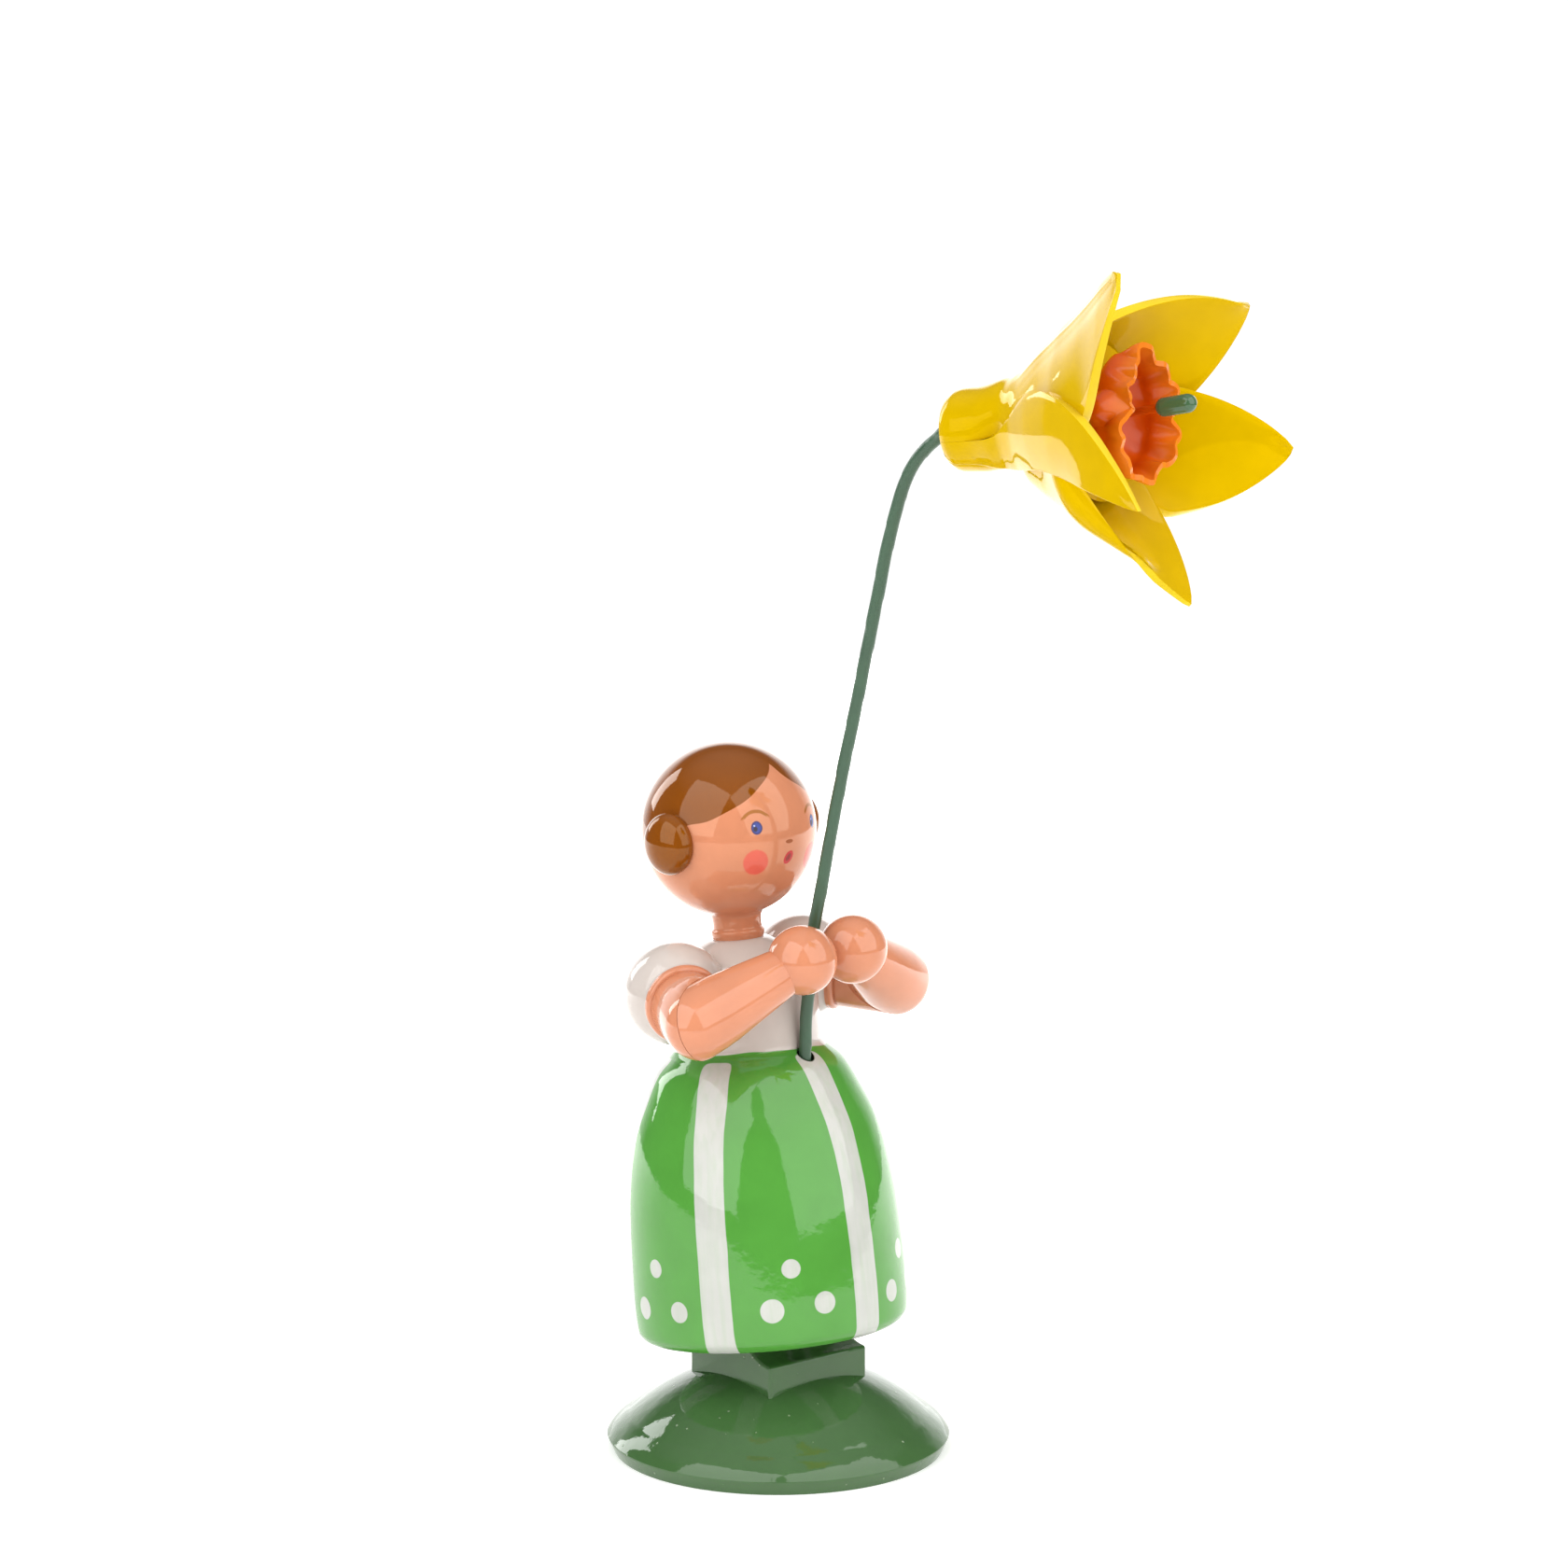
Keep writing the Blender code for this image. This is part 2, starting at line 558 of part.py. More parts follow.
def make_petal(index, material):
    petal = PETALS[index]
    foot = foot_angles(index)
    turns = [foot[0] + (foot[1] - foot[0]) * j / PETAL_COLUMNS for j in range(PETAL_COLUMNS + 1)]
    sides = [turn / abs(foot[0] if turn < 0 else foot[1]) for turn in turns]
    mesh = bpy.data.meshes.new(petal.name)
    shape = bmesh.new()
    rows = []
    for i in range(PETAL_ROWS):
        distance = CORE_START + (petal.tip - CORE_START) * (i / PETAL_ROWS) ** 0.9
        rows.append([shape.verts.new(petal_point(petal, foot, distance, side)) for side in sides])
    point = shape.verts.new(petal_point(petal, foot, petal.tip, 0.0))
    for low, high in zip(rows, rows[1:]):
        for j in range(PETAL_COLUMNS):
            shape.faces.new((low[j], high[j], high[j + 1], low[j + 1]))
    for j in range(PETAL_COLUMNS):
        shape.faces.new((rows[-1][j], point, rows[-1][j + 1]))
    for face in shape.faces:
        face.smooth = True
    shape.to_mesh(mesh)
    shape.free()
    blade = add_object(petal.name, mesh, material, BLOOM_FRAME)
    thickness = blade.vertex_groups.new(name="thickness")
    for i, vert in enumerate(mesh.vertices):
        row = i // (PETAL_COLUMNS + 1) / PETAL_ROWS
        place = max(0.0, row - TAPER_START) / (1.0 - TAPER_START)
        thickness.add([i], 1.0 - TIP_TAPER * place ** 2, 'REPLACE')
    wall = blade.modifiers.new("wall", 'SOLIDIFY')
    wall.thickness = PETAL_THICKNESS
    wall.offset = -1.0
    wall.vertex_group = thickness.name
    return blade


def make_core(material):
    """The turned plug that the petals are glued round and the wire goes into."""
    under_petals = PETAL_LAYER + PETAL_THICKNESS
    tube = flare_radius(0.5 * TUBE_LENGTH) - under_petals - GAP
    stations = [CORE_LENGTH * k for k in (1.0, 0.9, 0.8, 0.7, 0.6)]
    cone = [(flare_radius(z) - under_petals - CORE_CLEARANCE, z) for z in stations]
    floor = CORE_LENGTH - CORE_DISH
    profile = ([(0.0, floor), (CORE_FACE_RADIUS, floor)] + cone
               + [(tube, 1.1 * TUBE_LENGTH), (tube, CORE_START), (0.0, CORE_START)])
    core = turned("bloom_core", profile, material, BLOOM_FRAME, SMALL_STEPS)
    cut(core, rod("wire_bore", STEM_RADIUS + GAP, -GAP, STEM_HOLE_DEPTH + GAP, parent=BLOOM_FRAME,
                  steps=BORE_STEPS))
    cut(core, rod("pistil_bore", PISTIL_WIRE_RADIUS + GAP, -GAP, PISTIL_WIRE_DEPTH,
                  parent=PISTIL_FRAME, steps=BORE_STEPS))
    return core


def make_corona(material):
    """A thin cup with a ruffled rim, taller than it is wide, round the pistil's wire."""
    columns = 4 * SCALLOPS
    hole = PISTIL_WIRE_RADIUS + GAP
    raised = (CORONA_BACK + GAP - PISTIL_WIRE_START) * math.sin(PISTIL_TILT)
    mesh = bpy.data.meshes.new("corona")
    shape = bmesh.new()
    rings = []
    for i in range(CORONA_ROWS + 1):
        rise = i / CORONA_ROWS
        ruffle = blend(0.5, 1.0, rise)
        wall = hole + (CORONA_RADIUS - hole) * math.sin(rise * math.pi / 2) ** 0.9
        ring = []
        for j in range(columns):
            turn = 2 * math.pi * j / columns
            scallop = SCALLOPS * turn
            oval = CORONA_TALLER * math.cos(2 * turn) + SCALLOP_DEPTH * math.cos(scallop)
            radius = wall * (1.0 + ruffle * oval)
            along = CORONA_BACK + CORONA_DEPTH * rise ** 1.6 + SCALLOP_WAVE * ruffle * math.sin(scallop)
            ring.append(shape.verts.new((radius * math.sin(turn), raised + radius * math.cos(turn), along)))
        rings.append(ring)
    for low, high in zip(rings, rings[1:]):
        for j in range(columns):
            k = (j + 1) % columns
            shape.faces.new((low[j], high[j], high[k], low[k]))
    for face in shape.faces:
        face.smooth = True
    shape.to_mesh(mesh)
    shape.free()
    corona = add_object("corona", mesh, material, BLOOM_FRAME)
    wall = corona.modifiers.new("wall", 'SOLIDIFY')
    wall.thickness = CORONA_WALL
    wall.offset = 1.0
    return corona


def make_pistil(material):
    """A round-ended rod on a wire that is glued into the core."""
    high = PISTIL_REACH - PISTIL_RADIUS
    low = PISTIL_REACH - PISTIL_LENGTH + PISTIL_RADIUS
    head = arc(0.0, high, PISTIL_RADIUS, PISTIL_RADIUS, 90.0, 0.0, 4)
    head[0] = (0.0, PISTIL_REACH)
    join = -math.degrees(math.acos(PISTIL_WIRE_RADIUS / PISTIL_RADIUS))
    foot = arc(0.0, low, PISTIL_RADIUS, PISTIL_RADIUS, 0.0, join, 4)
    wire = [(PISTIL_WIRE_RADIUS, 0.0), (0.0, 0.0)]
    return turned("pistil", head + foot + wire, material, PISTIL_FRAME, 16)


clear_scene()
FIGURE = new_collection("flower_figure")
CUTTERS = new_collection("cutters")

BODY_MATRIX = (Matrix.Translation((0.0, BODY_OFFSET, BODY_FOOT_HEIGHT)) @ Matrix.Rotation(-LEAN, 4, 'X'))
BLOOM_MATRIX = (Matrix.Translation(BLOOM_REAR) @ Matrix.Rotation(BLOOM_TURN, 4, 'Z')
                @ Matrix.Rotation(math.pi / 2 - BLOOM_LIFT, 4, 'X'))
BODY_FRAME = frame_empty("leaning_axis", BODY_MATRIX)
BLOOM_FRAME = frame_empty("bloom_axis", BLOOM_MATRIX)
PISTIL_FRAME = frame_empty("pistil_axis", BLOOM_MATRIX @ Matrix.Translation((0.0, 0.0, PISTIL_WIRE_START))
                           @ Matrix.Rotation(-PISTIL_TILT, 4, 'X'))
STEM_ROUTE = stem_route()
TORSO_CUTTER = turned("torso_seat", grown(body_profile(), GAP), parent=BODY_FRAME)

dark_green = paint("dark green enamel", 0.03, 0.13, 0.05)
grass_green = paint("grass green enamel", 0.05, 0.35, 0.05)
white = paint("white enamel", 0.85, 0.82, 0.76)
skin = paint("skin enamel", 0.85, 0.37, 0.21)
hair = paint("brown enamel", 0.31, 0.12, 0.025)
yellow = paint("yellow enamel", 0.9, 0.58, 0.01)
orange = paint("orange enamel", 0.85, 0.2, 0.02)
beech = paint("bare beech", 0.62, 0.42, 0.25, 0.6)
stem_green = paint("green paper tape", 0.06, 0.16, 0.1, 0.6)

make_base(dark_green)
make_shoe_block(dark_green)
make_dowel(beech)
make_body(grass_green)
make_head(skin)
for name, sign in (("right", -1.0), ("left", 1.0)):
    make_bun(name, sign, hair)
    make_arm(name, sign, white, skin)
make_stem(stem_green)
make_core(yellow)
for index in range(len(PETALS)):
    make_petal(index, yellow)
make_corona(orange)
make_pistil(stem_green)
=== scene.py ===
import math
from collections import namedtuple

import bmesh
import bpy
from mathutils import Matrix, Vector, noise


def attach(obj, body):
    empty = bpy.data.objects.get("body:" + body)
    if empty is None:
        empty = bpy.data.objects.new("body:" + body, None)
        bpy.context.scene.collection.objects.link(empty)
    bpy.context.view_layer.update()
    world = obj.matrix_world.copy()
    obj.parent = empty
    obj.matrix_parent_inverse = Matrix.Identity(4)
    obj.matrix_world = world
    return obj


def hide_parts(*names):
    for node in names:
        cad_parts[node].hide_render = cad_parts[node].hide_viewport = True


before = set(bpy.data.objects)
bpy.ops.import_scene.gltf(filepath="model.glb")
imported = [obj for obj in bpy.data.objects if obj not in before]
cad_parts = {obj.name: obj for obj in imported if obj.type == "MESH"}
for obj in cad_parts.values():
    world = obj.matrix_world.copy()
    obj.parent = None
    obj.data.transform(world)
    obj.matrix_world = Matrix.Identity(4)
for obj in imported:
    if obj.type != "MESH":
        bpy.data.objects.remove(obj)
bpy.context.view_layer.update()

MM = 0.001

# Sizes of the solids, in mm
BASE_RADIUS, BASE_FOOT_RADIUS, BASE_RIM_HEIGHT, BASE_HEIGHT = 17.0, 16.4, 1.4, 9.05
BLOCK_WIDTH, BLOCK_TURN, TOE_HEIGHT, INSTEP_SLOPE = 12.4, math.radians(-5.2), 3.2, math.radians(25.0)
LEAN, BODY_OFFSET, BODY_FOOT_HEIGHT = math.radians(7.0), 0.8, 12.1
SKIRT_FOOT_RADIUS, SKIRT_RADIUS, WAIST_HEIGHT, WAIST_RADIUS = 12.7, 13.7, 27.8, 8.0
TORSO_RADIUS, BODY_HEIGHT, SHOULDER_DROP, SHOULDER_ROUND = 7.35, 39.1, 6.1, 6.6
DOWEL_BORE_RADIUS, DOWEL_IN_BODY, DOWEL_FLOOR = 1.55, 8.0, 2.4
HEAD_RADIUS, HEAD_HEIGHT, NECK_RADIUS, NECK_RING_RADIUS = 8.64, 49.9, 2.4, 2.6
BUN_HALF_SIZE, BUN_PLACE = (1.95, 2.85, 3.05), (8.7, -0.5, -0.25)
SHOULDER, ELBOW, HAND = Vector((8.77, 0.33, 34.9)), Vector((13.3, -7.5, 33.2)), Vector((3.5, -12.3, 37.8))
SLEEVE_RADIUS, CUFF_RADIUS, CUFF_BEAD, ARM_RADIUS = 5.1, 3.95, 0.45, 3.6
SLEEVE_MOUTH = math.sqrt(SLEEVE_RADIUS ** 2 - CUFF_RADIUS ** 2)
ELBOW_ROUND, ELBOW_SET, FOREARM_RADIUS, WRIST_RADIUS, HAND_RADIUS = 3.7, 0.6, 3.45, 2.4, 3.4
STEM_RADIUS, STEM_HOLE_RADIUS = 0.62, 0.86
STEM_FOOT, STEM_AT_WAIST = Vector((0.0, -7.21, 22.49)), Vector((0.0, -7.91, 27.34))
BLOOM_REAR, BLOOM_TURN, BLOOM_TIP = Vector((0.0, -23.8, 104.2)), math.radians(12.0), math.radians(82.5)
TUBE_LENGTH, TUBE_RADIUS, CLAW_GAP, LOW_SEAM = 7.0, 4.1, 0.02, math.radians(34.0)
PETAL_THICKNESS, PETAL_LAYER, PETAL_SHOULDER, OVERLAP_REACH = 1.0, 0.85, 0.45, 0.64
CORE_START, CORE_LENGTH, CORE_CLEARANCE, CORE_DISH, CORE_FACE_RADIUS = 0.2, 15.5, 0.8, 0.8, 3.2
CORONA_BACK, CORONA_DEPTH, CORONA_WALL, CORONA_HOLE = 15.9, 4.9, 0.5, 0.45
PISTIL_START, PISTIL_TILT, PISTIL_RADIUS = 11.5, math.radians(5.0), 0.9
PISTIL_LENGTH, PISTIL_REACH, PISTIL_WIRE_RADIUS = 4.2, 14.4, 0.4

# The skirt's bell from the waist down, in shares of its radius and of the waist's height
SKIRT_BELL = ((0.682, 0.953), (0.777, 0.863), (0.894, 0.719), (0.971, 0.504), (1.0, 0.198),
              (0.993, 0.058), (0.967, 0.018))
# The bloom's outer surface: places along its axis in tube lengths, and radii in tube radii
FLARE = ((0.0, 0.86), (0.12, 0.97), (0.6, 1.0), (1.0, 1.05), (1.3, 1.32), (1.75, 1.9), (2.3, 2.55),
         (2.9, 3.18), (3.5, 3.78), (4.1, 4.3))
# Angles of an edge and of the middle in degrees, sizes and the tip's sweep in mm, and laps in petal layers
Petal = namedtuple("Petal", "name edge middle tip tip_radius sweep low_width high_width flatness "
                            "low_lap high_lap")
PETALS = (
    Petal("petal_top_right", -66, -44, 28.7, 22.0, -2.0, 10.0, 3.6, -0.9, -0.6, 0.6),
    Petal("petal_top_left", 7, 56, 23.0, 18.8, 1.9, 8.6, 7.4, 0.3, -0.6, 0.7),
    Petal("petal_left", 82, 104, 25.4, 18.8, 0.4, 6.0, 8.8, 0.7, -0.7, 0.7),
    Petal("petal_bottom", 144, 176, 22.0, 17.8, -0.4, 7.4, 4.9, 0.8, -0.7, -0.45),
    Petal("petal_right", 222, 274, 28.7, 16.7, -7.7, 3.0, 5.2, 1.0, 0.6, 0.7),
)
# Lobes of the cup round the pistil: angle from its top, radius at the rim, and radius of the wall below it
CUP_LOBES = (
    (0, 6.1, 5.3), (17, 5.8, 5.0), (31, 5.0, 4.6), (48, 5.5, 4.7), (61, 5.0, 4.4), (73, 5.5, 4.4),
    (90, 4.6, 4.1), (102, 4.3, 4.0), (115, 5.6, 4.3), (130, 5.0, 4.3), (145, 5.7, 4.6), (165, 4.8, 4.5),
    (180, 6.0, 5.0), (204, 5.9, 5.1), (220, 6.2, 5.4), (246, 5.3, 4.4), (262, 5.1, 3.9), (270, 4.0, 4.2),
    (283, 2.7, 5.4), (300, 3.2, 4.4), (310, 3.8, 4.0), (331, 3.7, 4.6), (342, 4.4, 4.9), (353, 5.0, 5.2))

# Paints that several pieces share
SKIN, HAIR, WHITE, WARM_WHITE = "#CB8462", "#7E4208", "#BABBB5", "#C4BAB3"


def shift(place):
    """A move to a place in mm."""
    return Matrix.Translation(Vector(place) * MM)


def aimed(start, direction):
    """A frame at start whose +Z runs along the direction."""
    return shift(start) @ direction.to_track_quat('Z', 'Y').to_matrix().to_4x4()


def outward(turn, rise):
    """The way out at an angle from the front towards the right side, and above level, in degrees."""
    turn, rise = math.radians(turn), math.radians(rise)
    return Vector((-math.sin(turn) * math.cos(rise), -math.cos(turn) * math.cos(rise), math.sin(rise)))


def read_off(points, place):
    """The value at a place along (place, value) points: straight between two, level past the last."""
    for (low, low_value), (high, high_value) in zip(points, points[1:]):
        if place <= high:
            return low_value + (high_value - low_value) * (place - low) / (high - low)
    return points[-1][1]


WORLD = shift((0, 0, 0))
BODY = shift((0.0, BODY_OFFSET, BODY_FOOT_HEIGHT)) @ Matrix.Rotation(-LEAN, 4, 'X')
HEAD = BODY @ shift((0.0, 0.0, HEAD_HEIGHT))
BLOOM = shift(BLOOM_REAR) @ Matrix.Rotation(BLOOM_TURN, 4, 'Z') @ Matrix.Rotation(BLOOM_TIP, 4, 'X')
PISTIL = BLOOM @ shift((0.0, 0.0, PISTIL_START)) @ Matrix.Rotation(-PISTIL_TILT, 4, 'X')


# Finishes

# How often a pattern comes in each mm: orange peel every 1.4 mm, clouds of uneven colour every 3.3 mm,
# dust every 1.8 mm. Real grains are finer than 0.1 mm, and are drawn 0.2 mm wide so that they show.
PEELS_PER_MM, CLOUDS_PER_MM, DUST_PER_MM = 1 / 1.4, 0.3, 0.55
# Bristle marks about 0.6 mm wide and 8 mm long, which run up the skirt
BRISTLES_PER_MM = (1.6, 1.6, 0.12)
# Flecks of beech about 0.5 mm wide and 4 mm long
FLECKS_PER_MM = (2.0, 2.0, 0.24)


def linear(hex_colour):
    """A colour written as sRGB hex, in the linear values that a shader takes."""
    parts = [int(hex_colour[i:i + 2], 16) / 255 for i in (1, 3, 5)]
    return [p / 12.92 if p <= 0.04045 else ((p + 0.055) / 1.055) ** 2.4 for p in parts] + [1.0]


def new_material(name):
    """A material with its node tree and its shader."""
    material = bpy.data.materials.new(name)
    material.use_nodes = True
    return material, material.node_tree, material.node_tree.nodes["Principled BSDF"]


def feed(tree, made, inputs):
    """Give a node's inputs their links and values; a hex string is a colour."""
    for key, value in inputs.items():
        if isinstance(value, bpy.types.NodeSocket):
            tree.links.new(value, made.inputs[key])
        else:
            made.inputs[key].default_value = linear(value) if isinstance(value, str) else value


def node(tree, kind, inputs=None, out=0, **settings):
    """Add a node with its settings, values and links; gives one of its outputs."""
    made = tree.nodes.new("ShaderNode" + kind)
    for key, value in settings.items():
        setattr(made, key, value)
    feed(tree, made, inputs or {})
    return made.outputs[out]


def coats(tree, base, layers):
    """A base colour under coats of paint, each given as its colour and a mask that is 1 where it lies."""
    for colour, mask in layers:
        base = node(tree, "Mix", {0: mask, 6: base, 7: colour}, 2, data_type='RGBA')
    return base


def below(tree, value, limit, soft):
    """1 where a value is below the limit and 0 where it is above, with the soft rim of wet paint."""
    return node(tree, "MapRange", {0: value, 1: limit - soft, 2: limit + soft, 3: 1.0, 4: 0.0},
                interpolation_type='SMOOTHSTEP')


def wobble(tree, mm, amount, grain):
    """Coordinates pushed about by so many mm over a grain in mm, as an unsteady brush does."""
    drift = node(tree, "TexNoise", {"Vector": mm, "Scale": 1.0 / grain, "Detail": 1.0}, "Color")
    centred = node(tree, "VectorMath", {0: drift, 1: (0.5, 0.5, 0.5)}, operation='SUBTRACT')
    return node(tree, "VectorMath", {0: centred, 1: (2 * amount,) * 3, 2: mm}, operation='MULTIPLY_ADD')


def enamel(name, paint, roughness=0.05, peel=0.012, patch=0.04, specks=0.0, ior=1.52, tint="#FFFFFF"):
    """Gloss alkyd enamel, dipped or brushed in coats over turned wood, IOR about 1.5.

    It gives the eye a thick wet film: sharp reflections whose borders waver with the orange peel,
    slightly uneven colour, and here and there a grain of dust. The paint is a colour or a function
    that draws it on the piece's own mm. The tint keeps the film's haze in the hue of a strong paint.
    """
    material, tree, shader = new_material(name)
    mm = node(tree, "Attribute", out="Vector", attribute_name="own")
    film = paint(tree, mm) if callable(paint) else paint
    cloud = node(tree, "TexNoise", {"Vector": mm, "Scale": CLOUDS_PER_MM, "Detail": 3.0})
    value = node(tree, "MapRange", {0: cloud, 1: 0.3, 2: 0.7, 3: 1.0 - patch, 4: 1.0 + patch})
    colour = node(tree, "HueSaturation", {"Color": film, "Value": value})
    waves = node(tree, "TexNoise", {"Vector": mm, "Scale": PEELS_PER_MM, "Detail": 3.0, "Roughness": 0.45})
    if specks > 0:
        grain = node(tree, "TexVoronoi", {"Vector": mm, "Scale": DUST_PER_MM})
        speck = below(tree, grain, specks, 0.02)
        faint = node(tree, "Math", {0: speck, 1: 0.55}, operation='MULTIPLY')
        colour = coats(tree, colour, [("#8FA77C", faint)])
        waves = node(tree, "Math", {0: speck, 1: 2.0, 2: waves}, operation='MULTIPLY_ADD')
    gloss = node(tree, "MapRange", {0: cloud, 1: 0.3, 2: 0.7, 3: roughness * 0.8, 4: roughness * 1.25})
    bump = node(tree, "Bump", {"Strength": 1.0, "Distance": peel * MM, "Height": waves})
    feed(tree, shader, {"Base Color": colour, "Roughness": gloss, "IOR": ior, "Specular Tint": tint,
                        "Normal": bump})
    return material


def paper_tape(name):
    """Waxed paper tape wound on florist's wire: dull, uneven in colour, with a soft sheen on the wax."""
    return enamel(name, "#3A5741", roughness=0.42, peel=0.02, patch=0.1)


def bare_beech(name):
    """Beech dowel, turned and left bare: pale and dull, with fine brown flecks along the grain."""
    material, tree, shader = new_material(name)
    place = node(tree, "TexCoord", out="Object")
    along = node(tree, "VectorMath", {0: place, 1: [often / MM for often in FLECKS_PER_MM]},
                 operation='MULTIPLY')
    fleck = node(tree, "TexNoise", {"Vector": along, "Scale": 1.0, "Detail": 4.0})
    mask = node(tree, "MapRange", {0: fleck, 1: 0.45, 2: 0.65})
    bump = node(tree, "Bump", {"Strength": 0.5, "Distance": 0.02 * MM, "Height": fleck})
    feed(tree, shader, {"Base Color": coats(tree, "#C79A6B", [("#A97848", mask)]), "Roughness": 0.6,
                        "Normal": bump})
    return material


def turn_angle(tree, mm):
    """Degrees from the front towards the figure's right, from -180 to 180, and the height."""
    from_front = node(tree, "VectorMath", {0: mm, 1: (-1.0, -1.0, 1.0)}, operation='MULTIPLY')
    x, y, z = (node(tree, "SeparateXYZ", {0: from_front}, axis) for axis in range(3))
    turn = node(tree, "Math", {0: x, 1: y}, operation='ARCTAN2')
    return node(tree, "Math", {0: turn}, operation='DEGREES'), z


def line_round(tree, angle, low, high, points, peak=math.inf):
    """The height of a painted line that runs round through (angle, height), sharp only above the peak."""
    place = node(tree, "MapRange", {0: angle, 1: -180.0, 2: 180.0})
    drawn = node(tree, "FloatCurve", {"Value": place})
    curve = drawn.node.mapping.curves[0]
    for i, (turn, height) in enumerate(points):
        spot = ((turn + 180) / 360, (height - low) / (high - low))
        if i < 2:
            curve.points[i].location = spot
        else:
            curve.points.new(*spot)
    for point in curve.points:
        sharp = point.location[1] > (peak - low) / (high - low)
        point.handle_type = 'VECTOR' if sharp else 'AUTO_CLAMPED'
    drawn.node.mapping.update()
    return node(tree, "MapRange", {0: drawn, 3: low, 4: high})


# The bore's dark coat is painted shade inside the stem's hole, with stained glue on its rim
SKIRT_GREEN, WORN_WHITE, BORE_SHADE_AND_GLUE = "#4C9036", "#8FB07F", "#1E3220"
STRIPE_TURNS = (0.0, 66.5, 126.5, 184.7, 242.8, 301.0)
STRIPE_HALF_WIDTH, STRIPE_TOP, STRIPE_TOP_ROUND = 1.58, 27.9, 1.2
BORE_RIM, BORE_RIM_TOP = 0.08, 28.1
# Dots in the panel after each stripe: angle, height and radius, three of each panel
DOTS = ((34.1, 8.1, 0.95), (43.3, 4.15, 1.18), (21.0, 4.36, 1.1),
        (97.0, 8.29, 0.92), (107.6, 4.1, 1.12), (84.6, 4.18, 1.05),
        (155.2, 8.0, 0.98), (166.8, 4.3, 1.1), (144.1, 4.05, 1.15),
        (213.9, 8.2, 0.95), (224.5, 4.1, 1.08), (202.8, 4.25, 1.12),
        (271.4, 7.9, 1.0), (283.0, 4.2, 1.13), (260.9, 4.1, 1.05),
        (331.3, 7.45, 0.98), (342.9, 3.81, 1.1), (320.5, 4.2, 1.12))
# Where white meets green at the waist, as angle and height, and the heights that it stays between
WAIST_LINE = ((-180, 28.2), (-120, 28.0), (-45.3, 27.93), (-11.3, 28.25), (12.9, 28.42), (31.7, 28.55),
              (43.1, 28.65), (60.4, 28.58), (100, 28.5), (150, 28.35), (180, 28.2))
WAIST_LINE_LOW, WAIST_LINE_HIGH = 27.0, 29.5


def skirt_profile():
    """The skirt from the waist down to its foot, as radius and height."""
    bell = [(SKIRT_RADIUS * out, WAIST_HEIGHT * up) for out, up in SKIRT_BELL]
    return smooth_path([(WAIST_RADIUS, WAIST_HEIGHT)] + bell + [(SKIRT_FOOT_RADIUS, 0.0)], 8)


def striped(tree, drawn):
    """Distance outside the nearest stripe, each of which lies on one side of the axis."""
    nearest = None
    for turn in STRIPE_TURNS:
        a = math.radians(turn)
        across, back = (-math.cos(a), math.sin(a), 0.0), (math.sin(a), math.cos(a), 0.0)
        off = node(tree, "VectorMath", {0: drawn, 1: across}, "Value", operation='DOT_PRODUCT')
        off = node(tree, "Math", {0: off}, operation='ABSOLUTE')
        behind = node(tree, "VectorMath", {0: drawn, 1: back}, "Value", operation='DOT_PRODUCT')
        away = node(tree, "Math", {0: off, 1: behind}, operation='MAXIMUM')
        nearest = away if nearest is None else node(tree, "Math", {0: nearest, 1: away}, operation='MINIMUM')
    return node(tree, "Math", {0: nearest, 1: STRIPE_HALF_WIDTH}, operation='SUBTRACT')


def dotted(tree, drawn, marks):
    """The marks so far, as a distance outside the nearest, with the dots among them."""
    profile = sorted((height, radius) for radius, height in skirt_profile())
    for turn, height, size in DOTS:
        a, radius = math.radians(turn), read_off(profile, height)
        centre = (-radius * math.sin(a), -radius * math.cos(a), height)
        away = node(tree, "VectorMath", {0: drawn, 1: centre}, "Value", operation='DISTANCE')
        dot = node(tree, "Math", {0: away, 1: size}, operation='SUBTRACT')
        marks = node(tree, "Math", {0: marks, 1: dot}, operation='MINIMUM')
    return marks


def stem_bore(tree, mm):
    """The stem's bore, darkened inside as painted shade, and the rim of stained glue round it."""
    axis = (STEM_AT_WAIST - STEM_FOOT).normalized()
    from_foot = node(tree, "VectorMath", {0: mm, 1: STEM_FOOT}, operation='SUBTRACT')
    side = node(tree, "VectorMath", {0: from_foot, 1: axis}, operation='CROSS_PRODUCT')
    away = node(tree, "VectorMath", {0: side}, "Value", operation='LENGTH')
    near = below(tree, away, STEM_HOLE_RADIUS + BORE_RIM, 0.06)
    low = below(tree, node(tree, "SeparateXYZ", {0: mm}, 2), BORE_RIM_TOP, 0.05)
    return node(tree, "Math", {0: near, 1: low}, operation='MULTIPLY')


